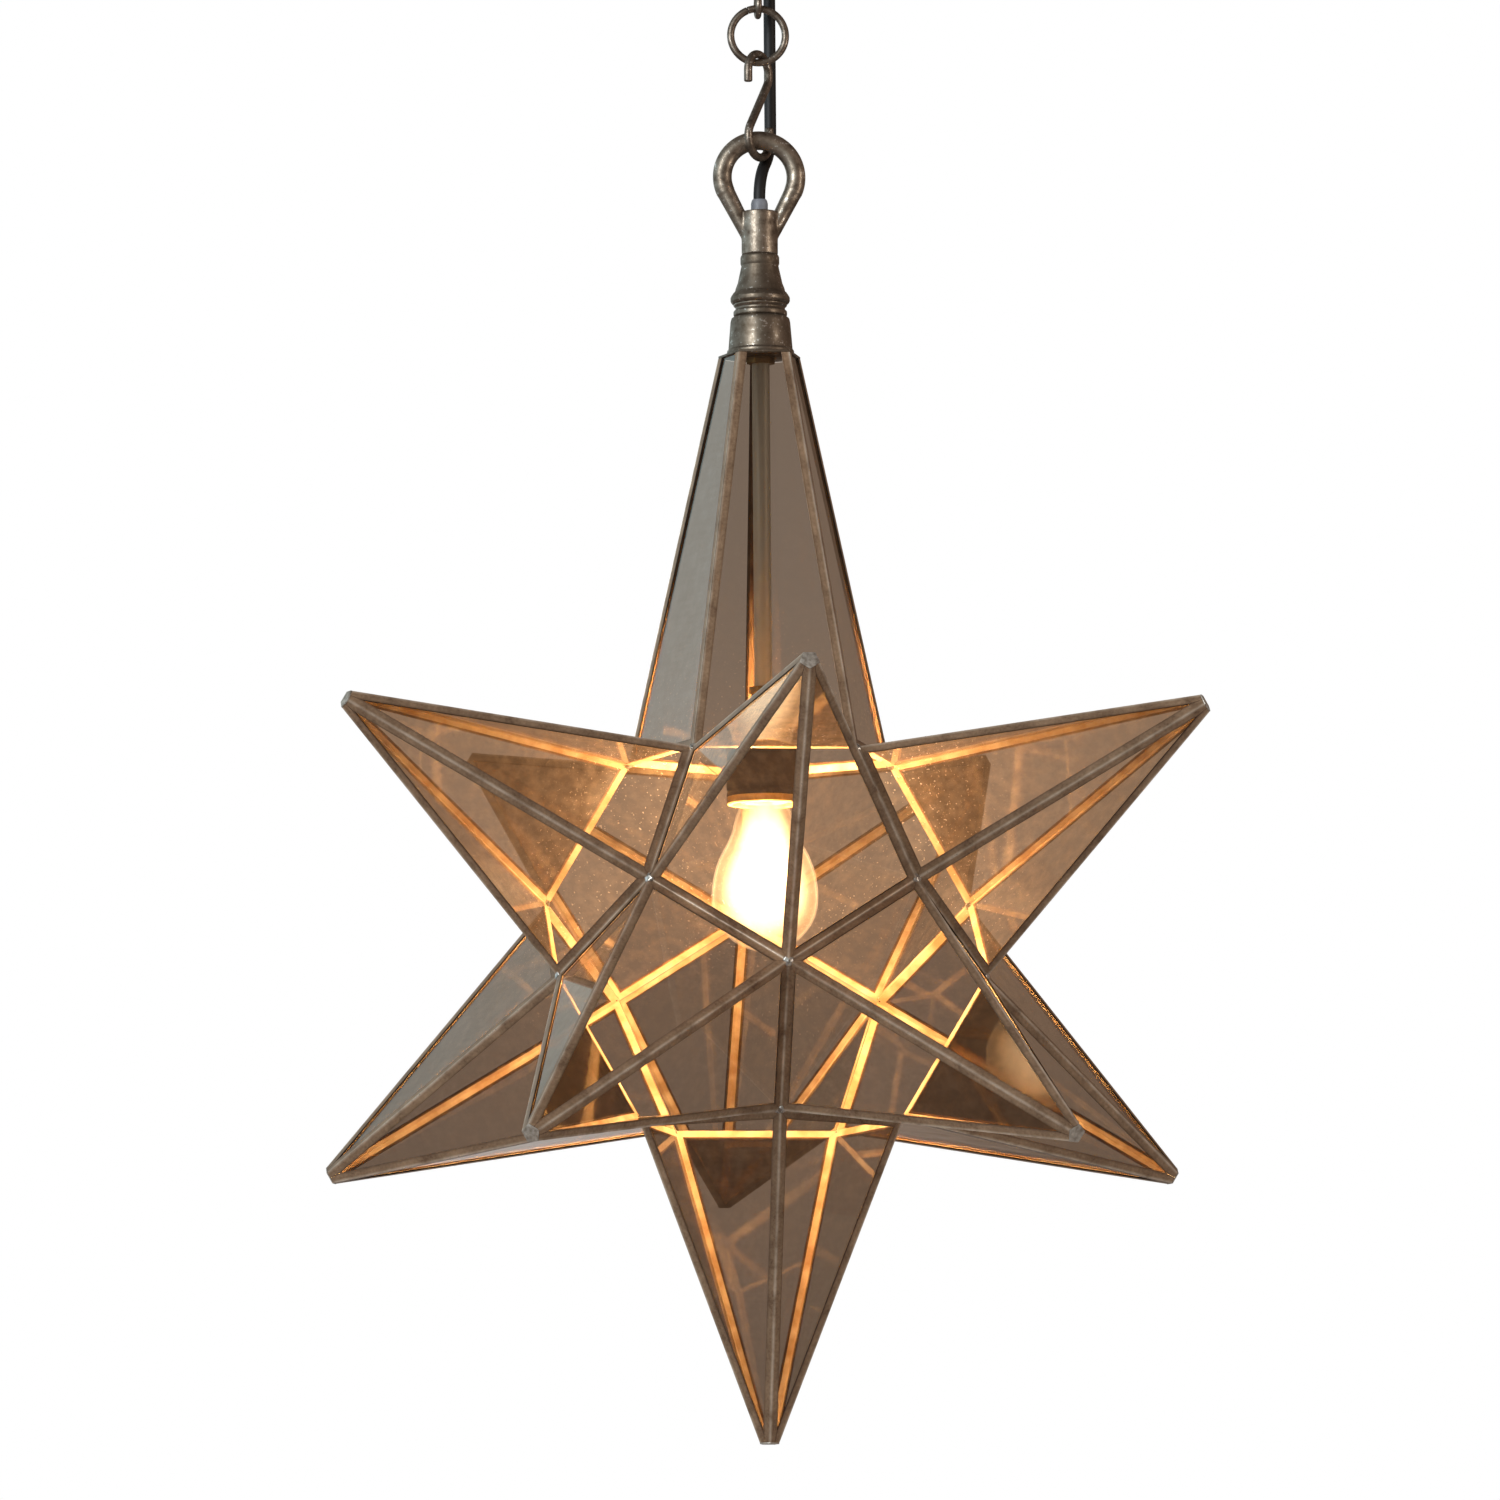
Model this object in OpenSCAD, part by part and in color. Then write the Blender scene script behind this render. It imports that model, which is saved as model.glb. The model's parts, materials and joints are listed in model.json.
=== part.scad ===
// Star pendant light: twelve glass points on a twelve-sided core, framed in soldered metal strips.
// It hangs from a ceiling hook by a link ring, an S-hook and a cast loop.
// Millimetres, Z up. The origin is the middle of the ceiling face, and the viewer looks along +Y.

/* [Star] */
// Edge of the twelve-sided core that the points stand on
core_edge = 92; // [80:1:110]
// Distance from the star's centre to the cut end of a point
tip_reach = 282; // [240:1:320]
// Corner radius of a point's cut end
tip_radius = 5.8; // [5:0.1:9]
// Height of the top point's cut end above the star's centre
top_reach = 332; // [300:1:360]
// Corner radius of the top point's cut end
top_radius = 24.6; // [22:0.1:30]
// Thickness of the plate that closes a point's cut end
tip_plate_t = 0.8; // [0.5:0.1:2]

/* [Metal strips] */
// Width of a strip's flange on the glass
came_w = 4.8; // [4:0.1:5.2]
// Thickness of a strip
came_t = 0.9; // [0.6:0.1:1.2]
// Gap left for solder where strips meet
solder_gap = 0.1; // [0.05:0.05:0.3]

/* [Glass] */
// Thickness of a pane
glass_t = 2; // [1.5:0.1:2.4]
// Gap for cement between a strip and its pane
cement_gap = 0.1; // [0.05:0.05:0.3]
// Distance from a ridge to the edge of a pane
pane_inset = 3.4; // [2.6:0.1:3.6]
// Distance from a valley to the foot of a pane
pane_foot = 3.4; // [2:0.1:3.6]

/* [Door] */
// Gap all round between the door and its seat
door_gap = 0.4; // [0.3:0.1:0.8]
// Radius of the hinge barrel
barrel_r = 1.6; // [1.5:0.1:1.7]
// Radius of the hinge pin
hinge_pin_r = 0.8; // [0.6:0.1:1]
// Gap between the pin and its bore
pin_gap = 0.05; // [0.03:0.01:0.1]
// Length of the hinge
hinge_len = 36; // [24:1:50]
// Width of a hinge leaf
leaf_w = 9; // [7:0.5:12]
// Thickness of a hinge leaf
leaf_t = 0.7; // [0.5:0.1:0.9]
// Length of the pull tab on the door's top ridge
pull_len = 8; // [6:0.5:12]
// Height of the pull tab
pull_h = 6; // [5:0.5:9]

/* [Stem and neck] */
// Outer radius of the threaded stem tube
stem_r = 5; // [4.5:0.1:6]
// Inner radius of the stem tube
stem_bore_r = 4; // [3.6:0.1:4.2]
// Clearance between the stem tube and what is threaded on it
thread_gap = 0.15; // [0.1:0.05:0.3]
// Thickness of the plate that closes the top point
cap_plate_t = 1.5; // [1:0.1:3]
// Height of the cap sleeve
sleeve_h = 21.5; // [15:0.5:30]
// Radius of the cap sleeve's bottom lip
sleeve_lip_r = 19; // [18.6:0.1:21]
// Radius of the cap sleeve at its foot
sleeve_foot_r = 18.2; // [17:0.1:18.4]
// Radius of the cap sleeve at its top
sleeve_top_r = 16.4; // [15.6:0.1:17]
// Height of the bead ring above the sleeve
bead_h = 7.4; // [5:0.2:10]
// Radius of the bead ring
bead_r = 15.2; // [14:0.1:16]
// Height of the cone coupler
coupler_h = 28; // [22:0.5:36]
// Radius of the coupler's flange
flange_r = 16.8; // [16:0.1:19]
// Radius of the coupler's cone at its foot
cone_foot_r = 13.7; // [13:0.1:15]
// Radius of the coupler's cone at its top
cone_top_r = 10.5; // [9:0.1:11]
// Radius of the coupler's top lip
lip_r = 11; // [10.8:0.1:12.5]
// Radius of the loop's neck
neck_r = 10.3; // [9:0.1:10.6]
// Height of the loop's neck
neck_h = 25; // [20:0.5:32]

/* [Loop] */
// Radius of the loop's bar
loop_bar_r = 5.4; // [4.6:0.1:5.6]
// Radius of the loop along its bar's middle
loop_r = 21; // [19:0.5:25]
// Height of the loop's centre above the neck's top
loop_rise = 19.9; // [18:0.1:24]
// Radius of the loop's legs where they meet the neck
leg_r = 4.3; // [3.6:0.1:5]

/* [Hook and link] */
// Radius of the S-hook's wire
hook_wire_r = 2.4; // [2:0.1:2.6]
// Inner radius of the S-hook's lower bend
hook_low_r = 8.6; // [8.6:0.1:9.4]
// Inner radius of the S-hook's upper bend
hook_high_r = 8.4; // [7:0.1:9.5]
// Distance between the centres of the two bends
hook_span = 37.5; // [34:0.5:44]
// Angle of the S-hook's plane from the loop's plane
hook_turn = 52; // [48:1:70]
// Straight end of the upper bend
hook_high_tip = 6.5; // [4:0.5:9]
// Straight end of the lower bend
hook_low_tip = 7.5; // [4:0.5:9]
// Radius of the link ring's wire
link_wire_r = 2.1; // [1.8:0.1:2.6]
// Radius of the link ring along its wire's middle
link_r = 15.6; // [14:0.1:18]
// Gap between hanging pieces where they bear on each other
hang_gap = 0.3; // [0.2:0.05:0.4]

/* [Ceiling fitting] */
// Radius of the ceiling hook's wire
eye_wire_r = 1.8; // [1.6:0.1:2.2]
// Inner radius of the ceiling hook's eye
eye_r = 4.2; // [4:0.1:5.5]
// Length of the ceiling hook's shank above its eye
shank_len = 32; // [30:0.5:36]
// Radius of the lock ring under the canopy
lock_ring_r = 8; // [7:0.5:10]
// Height of the lock ring
lock_ring_h = 6; // [5:0.5:8]
// Height of the shank that shows between the eye and the lock ring
shank_shown = 2.6; // [2.6:0.1:6]
// Radius of the canopy at the ceiling
canopy_r = 52; // [48:1:65]
// Height of the canopy
canopy_h = 28; // [26:0.5:34]
// Wall of the canopy
canopy_wall = 1; // [0.8:0.1:1.5]
// Distance between the bracket's two screw slots
bracket_pitch = 70; // [66:1:74]
// Radius of a screw hole in the bracket
bracket_hole_r = 2.25; // [2:0.05:2.6]
// Width of the bracket
bracket_w = 26; // [24:1:30]
// Thickness of the bracket's steel
bracket_t = 2; // [1.5:0.1:2.5]
// Depth of the bracket's middle below the ceiling
bracket_drop = 10; // [9:0.5:11]

/* [Socket and bulb] */
// Height of the socket dome's top above the star's centre
socket_top = 139.8; // [135:0.2:145]
// Height of the socket dome
dome_h = 33.4; // [30:0.2:38]
// Height of the socket's body
body_h = 25; // [22:0.5:30]
// Radius of the socket's body
body_r = 21.1; // [20.5:0.1:23]
// Wall of the socket's dome and body
socket_wall = 1.3; // [1:0.1:1.6]
// Height of the brass rim under the body
rim_h = 4.5; // [3:0.5:6]
// Radius of the bulb's glass
bulb_r = 30; // [28:0.5:32]
// Overall height of the bulb
bulb_h = 110; // [105:0.5:115]
// How much taller the bulb's upper half is than a ball's
bulb_rise = 1.43; // [1.3:0.01:1.5]
// Radius of the bulb's screw cap
bulb_cap_r = 13.1; // [13:0.05:13.2]
// Clearance between the screw cap and its shell
bulb_gap = 0.3; // [0.2:0.05:0.5]
// Thickness of the bulb's glass
bulb_wall = 0.8; // [0.6:0.1:1.2]

/* [Flex] */
// Radius of the flex
flex_r = 3.4; // [3.3:0.05:3.45]
// Radius of the flex's bends along its middle
flex_bend_r = 27.5; // [27.5:0.5:29]
// Clearance round the flex in its gland and grip
flex_gap = 0.1; // [0.05:0.05:0.2]
// Radius of the gland in the neck's top
gland_r = 4.8; // [4.6:0.1:5.4]
// Height of the gland that shows above the neck
gland_h = 7; // [5:0.5:8]

/* [Hidden] */
$fn = 96;
eps = 0.01;

// Core: radii of a face and of the solid, from its edge
face_r = core_edge / (2 * sin(36));
face_in = core_edge / (2 * tan(36));
core_in = face_in * (1 + sqrt(5)) / 2;
core_mid = norm([face_in, core_in]);
edge_lean = atan(face_in / core_in);
side_tilt = 2 * edge_lean;

// Kinds of point: [tilt, azimuth, turn, reach, cut radius]
TOP = [0, 90, 0, top_reach, top_radius];
BOTTOM = [180, 90, 0, tip_reach, tip_radius];
function upper(k) = [side_tilt, 72 * k - 90, 0, tip_reach, tip_radius];
function lower(k) = [180 - side_tilt, 72 * k - 54, 36, tip_reach, tip_radius];
door_k = 2;
DOOR = lower(door_k);

// A point's sharp end lies this far above its base
function apex_rise(s) = (s[3] - core_in) / (1 - s[4] / face_r);
// Length of a face from its base edge to the sharp end
function slant(s) = norm([face_in, apex_rise(s)]);
// Angle of a face at its base corners
function corner(s) = atan(slant(s) / (core_edge / 2));
// Angle between a face and the line from the star's centre through its base edge
function lean(s) = 90 - atan(apex_rise(s) / face_in) + edge_lean;
function unit(v) = v / norm(v);
function ringpoint(r, angle, z) = [r * cos(angle), r * sin(angle), z];

// Heights above the star's centre, from the top point's cut end upwards
z_cap = top_reach;
z_sleeve = z_cap + cap_plate_t;
z_bead = z_sleeve + sleeve_h;
z_coupler = z_bead + bead_h;
z_neck = z_coupler + coupler_h;
z_neck_top = z_neck + neck_h;
z_gland_top = z_neck_top + gland_h;
z_loop = z_neck_top + loop_rise;
z_loop_bar = z_loop + loop_r;
// The turned hook bears on the sides of the loop's thick bar, so its bend hangs a little lower
low_drop = 1.4;
z_hook_low = z_loop_bar + low_drop;
z_hook_high = z_hook_low + hook_span;
z_link_bar = z_hook_high + hook_high_r - link_wire_r - hang_gap;
z_link = z_link_bar + link_r;
z_link_top = z_link + link_r;
z_eye = z_link_top - link_wire_r - hang_gap + eye_r;
eye_mid_r = eye_r + eye_wire_r;
z_pivot = z_eye - eye_mid_r;
z_eye_top = z_eye + eye_mid_r;
z_lock_ring = z_eye_top + eye_wire_r + shank_shown;
z_canopy = z_lock_ring + lock_ring_h;
z_ceiling = z_canopy + canopy_h;

// Socket and bulb heights
z_dome_foot = socket_top - dome_h;
z_body_foot = z_dome_foot - body_h;
z_rim_foot = z_body_foot - rim_h;
insulator_t = 9;
contact_t = 2;
shell_r = bulb_cap_r + bulb_gap;
shell_t = 0.6;
bulb_cap_h = 22;
bulb_tip_h = 4;
z_contact = z_dome_foot - contact_t;
z_bulb_top = z_contact - hang_gap;
z_bulb_foot = z_bulb_top - bulb_h;
z_bulb_cap = z_bulb_top - bulb_tip_h - bulb_cap_h;
z_shell_foot = z_body_foot + 1;

// Hinge: its axis stands off the valley so that the barrel clears both faces
hinge_lift = (barrel_r + 0.23) / sin(lean(DOOR));
knuckle = hinge_len / 3;
knuckle_gap = 0.2;

// Colours
pewter = [0.46, 0.42, 0.37];
smoke = [0.45, 0.42, 0.38, 0.45];
brass = [0.72, 0.58, 0.32];
steel = [0.62, 0.62, 0.62];
dark = [0.12, 0.11, 0.10];
white = [0.9, 0.9, 0.87];
grey = [0.45, 0.45, 0.47];
clear = [0.9, 0.93, 0.95, 0.3];

// Everything but the ceiling fitting is measured from the star's centre
module from_star() {
    translate([0, 0, -z_ceiling])
        children();
}

module at_point(s) {
    rotate([0, s[0], s[1]])
        rotate(s[2])
            children();
}

// Frame on a base edge: X along the edge, Z outwards, Y towards the point s itself
module at_edge(s, k) {
    at_point(s)
        rotate(36 + 72 * k)
            rotate([0, edge_lean, 0])
                translate([0, 0, core_mid])
                    rotate(90)
                        children();
}

// Bar through a row of like sections of six or four corners
module strip(rows) {
    n = len(rows[0]);
    last = (len(rows) - 1) * n;
    sides = [
        for (r = [0:n:last - n])
            for (i = [0:n - 1])
                [r + i, r + (i + 1) % n, r + n + (i + 1) % n, r + n + i]
    ];
    low = [for (i = [1:n - 2]) [0, i + 1, i]];
    high = [for (i = [1:n - 2]) [last, last + i, last + i + 1]];
    polyhedron([for (row = rows) each row], concat(low, sides, high));
}

// Angle strip along one ridge, from a mitred foot to the point's cut end
module ridge_strip(s) {
    h = apex_rise(s);
    foot = [face_r, 0, core_in];
    along = unit([-face_r, 0, h]);
    base = unit(ringpoint(face_r, 72, 0) - [face_r, 0, 0]);
    across = unit(base - (base * along) * along);
    inward = unit([-h * cos(36), -h * sin(36), -face_in]);
    mitre = came_w / tan(corner(s) / 2);
    ridge_in = came_t / (norm([inward[0], inward[1]]) * cos(36));
    half_end = s[4] * sin(36);
    end_w = min(came_w / sin(corner(s)), half_end - solder_gap);
    // Near the cut end the two flanges on a face meet and grow narrower together
    full = norm([face_r, h]) - (came_w + solder_gap) * tan(corner(s));
    meet = min(full, norm([face_r, h]) * (1 - s[4] / face_r) * 0.9);
    p0 = foot + along * solder_gap * 2;
    m0 = foot + along * (mitre + solder_gap) + across * came_w;
    n0 = m0 + inward * came_t;
    q0 = foot + along * (came_t * 0.7 + solder_gap) - [ridge_in, 0, 0];
    p1 = foot + along * meet;
    m1 = p1 + across * came_w;
    n1 = m1 + inward * came_t;
    q1 = p1 - [ridge_in, 0, 0];
    p2 = [s[4], 0, s[3]];
    m2 = p2 + base * end_w;
    rim = unit(m2 - m1);
    n2 = m2 + inward * came_t - rim * (inward[2] * came_t / rim[2]);
    q2 = p2 - [ridge_in, 0, 0];
    strip([
        [p0, m0, n0, q0, flip(n0), flip(m0)],
        [p1, m1, n1, q1, flip(n1), flip(m1)],
        [p2, m2, n2, q2, flip(n2), flip(m2)]
    ]);
}
function flip(v) = [v[0], -v[1], v[2]];

// Corners of a valley strip's section near one end, on the side y > 0
function valley_side(w, lean_a, from_end) = [
    [core_edge / 2 - from_end, w * sin(lean_a), w * cos(lean_a)],
    [
        core_edge / 2 - from_end,
        w * sin(lean_a) + came_t * cos(lean_a),
        w * cos(lean_a) - came_t * sin(lean_a)
    ]
];

// Angle strip along one valley, its flanges leaning by lean_a and lean_b, mitred at both ends
module valley_strip(lean_a, lean_b, corner_a, corner_b) {
    a = valley_side(came_w, lean_a, came_w / tan(corner_a / 2) + solder_gap);
    b = valley_side(came_w, lean_b, came_w / tan(corner_b / 2) + solder_gap);
    q_y = came_t * (sin(lean_b) - sin(lean_a)) / sin(lean_a + lean_b);
    q_z = -came_t * (cos(lean_a) + cos(lean_b)) / sin(lean_a + lean_b);
    p = [core_edge / 2 - solder_gap * 2, 0, 0];
    q = [core_edge / 2 - came_t * 0.7 - solder_gap * 2, q_y, q_z];
    end = [p, a[0], a[1], q, flip(b[1]), flip(b[0])];
    strip([[for (v = end) [-v[0], v[1], v[2]]], end]);
}

// Half of such a strip, on the side y > 0, set back from the middle by half the door's gap
module half_strip(s) {
    a = valley_side(came_w, lean(s), came_w / tan(corner(s) / 2) + solder_gap);
    back = door_gap / 2;
    z_p = back / tan(lean(s));
    z_q = (back * cos(lean(s)) - came_t) / sin(lean(s));
    p = [core_edge / 2 - solder_gap * 2, back, z_p];
    q = [core_edge / 2 - came_t * 0.7 - solder_gap * 2, back, z_q];
    end = [p, a[0], a[1], q];
    strip([[for (v = end) [-v[0], v[1], v[2]]], end]);
}

// One pane, lying under the strips of the face between the ridges at 0 and 72 degrees
module pane(s) {
    low_half = core_edge / 2 - pane_foot / tan(corner(s)) - pane_inset / sin(corner(s));
    cut_slant = (s[3] - core_in) * slant(s) / apex_rise(s) - 0.4;
    thin_slant = slant(s) * (1 - 2 * (pane_inset / sin(corner(s)) + 1.2) / core_edge);
    high = min(cut_slant, thin_slant);
    high_half = core_edge / 2 * (1 - high / slant(s)) - pane_inset / sin(corner(s));
    outline = [
        [-low_half, pane_foot],
        [low_half, pane_foot],
        [high_half, high],
        [-high_half, high]
    ];
    rotate(36)
        translate([face_in, 0, core_in])
            rotate([0, -atan(face_in / apex_rise(s)), 0])
                rotate([90, 0, 90])
                    translate([0, 0, -came_t - cement_gap - glass_t])
                        linear_extrude(glass_t)
                            polygon(outline);
}

module glass(s) {
    color(smoke)
        from_star()
            at_point(s)
                for (k = [0:4])
                    rotate(72 * k)
                        pane(s);
}

module ridges(s) {
    from_star()
        at_point(s)
            for (k = [0:4])
                rotate(72 * k)
                    ridge_strip(s);
}

module tip_plate(s) {
    from_star()
        at_point(s)
            translate([0, 0, s[3]])
                linear_extrude(tip_plate_t)
                    polygon([for (k = [0:4]) s[4] * [cos(72 * k), sin(72 * k)]]);
}

module top_ridge_strips() {
    color(pewter)
        ridges(TOP);
}

module upper_ridge_strips() {
    color(pewter)
        for (k = [0:4])
            ridges(upper(k));
}

module lower_ridge_strips() {
    color(pewter)
        for (k = [0:4])
            if (k != door_k)
                ridges(lower(k));
}

module bottom_ridge_strips() {
    color(pewter)
        ridges(BOTTOM);
}

module door_ridge_strips() {
    color(pewter)
        ridges(DOOR);
}

// A valley between two points: s carries the edge, and other is its neighbour
module valley(s, k, other) {
    from_star()
        at_edge(s, k)
            valley_strip(lean(s), lean(other), corner(s), corner(other));
}

module valley_strips() {
    color(pewter)
        for (k = [0:4]) {
            valley(TOP, k, upper(0));
            valley(upper(k), 1, upper(0));
            if (k != door_k)
                valley(upper(k), 0, lower(0));
            if (k != door_k + 1)
                valley(upper(k), 4, lower(0));
            if (k != door_k && k != door_k - 1)
                valley(lower(k), 0, lower(0));
            if (k != door_k)
                valley(lower(k), 4, BOTTOM);
        }
}

module door_seat_strips() {
    color(pewter)
        from_star()
            for (k = [0:4])
                at_edge(DOOR, k)
                    mirror([0, 1, 0])
                        half_strip(DOOR);
}

module door_base_strips() {
    color(pewter)
        from_star()
            for (k = [0:4])
                at_edge(DOOR, k)
                    half_strip(DOOR);
}

module tip_plates() {
    color(pewter) {
        tip_plate(BOTTOM);
        for (k = [0:4]) {
            tip_plate(upper(k));
            if (k != door_k)
                tip_plate(lower(k));
        }
    }
}

module door_tip_plate() {
    color(pewter)
        tip_plate(DOOR);
}

// Hinge leaf on the side y > 0, with knuckles at the given thirds of its length
module hinge_leaf(own) {
    from_star()
        at_edge(DOOR, 4) {
            difference() {
                union() {
                    for (i = [0:2])
                        leaf_third(i, len([for (j = own) if (j == i) j]) > 0);
                    for (i = own)
                        translate([knuckle_x(i), 0, hinge_lift])
                            rotate([0, 90, 0])
                                cylinder(r = barrel_r, h = knuckle - knuckle_gap);
                }
                translate([-hinge_len, 0, hinge_lift])
                    rotate([0, 90, 0])
                        cylinder(r = hinge_pin_r + pin_gap, h = 2 * hinge_len);
            }
        }
}
function knuckle_x(i) = -hinge_len / 2 + i * knuckle + knuckle_gap / 2;

module leaf_third(i, joined) {
    lean_d = lean(DOOR);
    start = joined ? leaf_t / tan(lean_d) + 0.3 : hinge_lift * cos(lean_d) + barrel_r + 0.3;
    first = i == 0 ? 0 : -knuckle_gap / 2;
    last = i == 2 ? 0 : knuckle_gap / 2;
    rotate([90 - lean_d, 0, 0])
        translate([knuckle_x(i) + first, start, 0])
            cube([knuckle - knuckle_gap + last - first, leaf_w - start, leaf_t]);
}

module hinge_star_leaf() {
    color(brass)
        from_star_mirror()
            hinge_leaf([0, 2]);
}

// The star's leaf is the door's leaf mirrored in the plane through the hinge and the centre
module from_star_mirror() {
    from_star()
        at_point(DOOR)
            rotate(36 + 72 * 4)
                rotate([0, edge_lean, 0])
                    mirror([1, 0, 0])
                        rotate([0, -edge_lean, 0])
                            rotate(-36 - 72 * 4)
                                at_point_back(DOOR)
                                    translate([0, 0, z_ceiling])
                                        children();
}

module at_point_back(s) {
    rotate(-s[2])
        rotate([0, -s[0], 0])
            rotate(-s[1])
                children();
}

module hinge_door_leaf() {
    color(brass)
        hinge_leaf([1]);
}

module hinge_pin() {
    head_r = hinge_pin_r + 0.5;
    head_h = 0.6;
    color(brass)
        from_star()
            at_edge(DOOR, 4)
                translate([-hinge_len / 2 - head_h - 0.1, 0, hinge_lift])
                    rotate([0, 90, 0]) {
                        cylinder(r = hinge_pin_r, h = hinge_len + 2 * head_h + 0.2);
                        cylinder(r = head_r, h = head_h);
                        translate([0, 0, hinge_len + head_h + 0.2])
                            cylinder(r = head_r, h = head_h);
                    }
}

// Finger tab that stands on the door's top ridge
module door_pull() {
    away = 14;
    ridge_lean = atan(face_r / apex_rise(DOOR));
    color(brass)
        from_star()
            at_point(DOOR)
                rotate(72 * 2)
                    translate([face_r, 0, core_in])
                        rotate([0, -ridge_lean, 0])
                            translate([0, 0.5, away])
                                rotate([90, 0, 0])
                                    linear_extrude(1)
                                        pull_outline();
}

module pull_outline() {
    difference() {
        hull() {
            square([eps, pull_len]);
            translate([pull_h - 2, 2])
                circle(r = 2, $fn = 32);
            translate([pull_h - 2, pull_len - 2])
                circle(r = 2, $fn = 32);
        }
        translate([pull_h - 2.6, pull_len / 2])
            circle(r = 1.2, $fn = 32);
    }
}

module cap_plate() {
    color(pewter)
        from_star()
            at_point(TOP)
                translate([0, 0, z_cap])
                    linear_extrude(cap_plate_t)
                        difference() {
                            polygon([for (k = [0:4]) top_radius * [cos(72 * k), sin(72 * k)]]);
                            circle(r = stem_r + thread_gap);
                        }
}

// Turned piece round the stem tube, from its outline of [radius, height] corners
module turned(outline) {
    bore = stem_r + thread_gap;
    low = outline[0][1];
    high = outline[len(outline) - 1][1];
    from_star()
        rotate_extrude()
            polygon(concat([[bore, low]], outline, [[bore, high]]));
}

module cap_sleeve() {
    lip_h = 2.7;
    wall = 3;
    color(pewter)
        difference() {
            turned([
                [sleeve_lip_r, z_sleeve],
                [sleeve_lip_r, z_sleeve + lip_h - 0.8],
                [sleeve_foot_r, z_sleeve + lip_h],
                [sleeve_top_r + 0.5, z_bead - 3],
                [sleeve_top_r, z_bead - 1],
                [sleeve_top_r - 1.5, z_bead]
            ]);
            from_star()
                translate([0, 0, z_sleeve - 1])
                    cylinder(r = sleeve_top_r - wall, h = sleeve_h - wall + 1);
        }
}

module bead_ring() {
    color(pewter)
        turned([
            [bead_r - 0.8, z_bead],
            [bead_r, z_bead + 0.8],
            [bead_r, z_bead + bead_h * 0.4],
            [bead_r - 1.2, z_bead + bead_h * 0.55],
            [bead_r - 1.2, z_bead + bead_h * 0.7],
            [bead_r, z_bead + bead_h * 0.85],
            [bead_r, z_coupler]
        ]);
}

module cone_coupler() {
    h = coupler_h;
    color(pewter)
        turned([
            [flange_r - 1, z_coupler],
            [flange_r, z_coupler + h * 0.05],
            [flange_r, z_coupler + h * 0.13],
            [flange_r - 1.6, z_coupler + h * 0.22],
            [cone_foot_r + 0.6, z_coupler + h * 0.25],
            [cone_foot_r, z_coupler + h * 0.33],
            [cone_foot_r - 1, z_coupler + h * 0.42],
            [cone_top_r, z_coupler + h * 0.78],
            [lip_r, z_coupler + h * 0.82],
            [lip_r, z_coupler + h * 0.95],
            [lip_r - 0.6, z_neck]
        ]);
}

// Cast loop on its neck, with a bore for the stem tube and a smaller one for the flex
module loop_casting() {
    spread = 25;
    leg_foot = [neck_r * 0.58, z_neck + neck_h * 0.42];
    leg_top = [loop_r * cos(spread), z_loop - loop_r * sin(spread)];
    color(pewter)
        from_star()
            difference() {
                union() {
                    translate([0, 0, z_neck])
                        cylinder(r = neck_r, h = neck_h);
                    translate([0, 0, z_loop])
                        rotate([90, 0, 0])
                            rotate(-spread)
                                rotate_extrude(angle = 180 + 2 * spread)
                                    translate([loop_r, 0])
                                        circle(r = loop_bar_r, $fn = 48);
                    for (side = [0, 1])
                        mirror([side, 0, 0])
                            loop_leg(leg_foot, leg_top);
                }
                translate([0, 0, z_neck - 1])
                    cylinder(r = stem_r + thread_gap, h = neck_h * 0.6 + 1);
                cylinder(r = flex_r + flex_gap, h = z_neck_top + 1);
                translate([0, 0, z_neck_top - gland_seat])
                    cylinder(r = gland_r + thread_gap, h = gland_seat + gland_h);
            }
}
gland_seat = 6;

module loop_leg(foot, top) {
    rise = top - foot;
    translate([foot[0], 0, foot[1]])
        rotate([0, atan2(rise[0], rise[1]), 0])
            cylinder(r1 = leg_r, r2 = loop_bar_r - 0.2, h = norm(rise) + 0.6, $fn = 48);
}

module flex_gland() {
    color(grey)
        from_star()
            translate([0, 0, z_neck_top - gland_seat])
                difference() {
                    cylinder(r = gland_r, h = gland_seat + gland_h);
                    translate([0, 0, -1])
                        cylinder(r = flex_r + flex_gap, h = gland_seat + gland_h + 2);
                }
}

module stem_tube() {
    high = z_neck + neck_h * 0.6 - 1;
    low = socket_top - 7;
    color(brass)
        from_star()
            translate([0, 0, low])
                difference() {
                    cylinder(r = stem_r, h = high - low);
                    translate([0, 0, -1])
                        cylinder(r = stem_bore_r, h = high - low + 2);
                }
}

// The flex inside the stem, from the gland's top to the socket's insulator
module stem_flex() {
    low = z_dome_foot + insulator_t;
    color(dark)
        from_star()
            translate([0, 0, low])
                cylinder(r = flex_r, h = z_gland_top - low, $fn = 48);
}

module hex_nut(z, across, h) {
    from_star()
        translate([0, 0, z])
            linear_extrude(h)
                difference() {
                    circle(r = across / 2 / cos(30), $fn = 6);
                    circle(r = stem_r + thread_gap);
                }
}

module cap_nut() {
    color(brass)
        hex_nut(z_cap - 4, 14, 4);
}

module socket_nut() {
    color(brass)
        hex_nut(socket_top, 14, 4);
}

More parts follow.
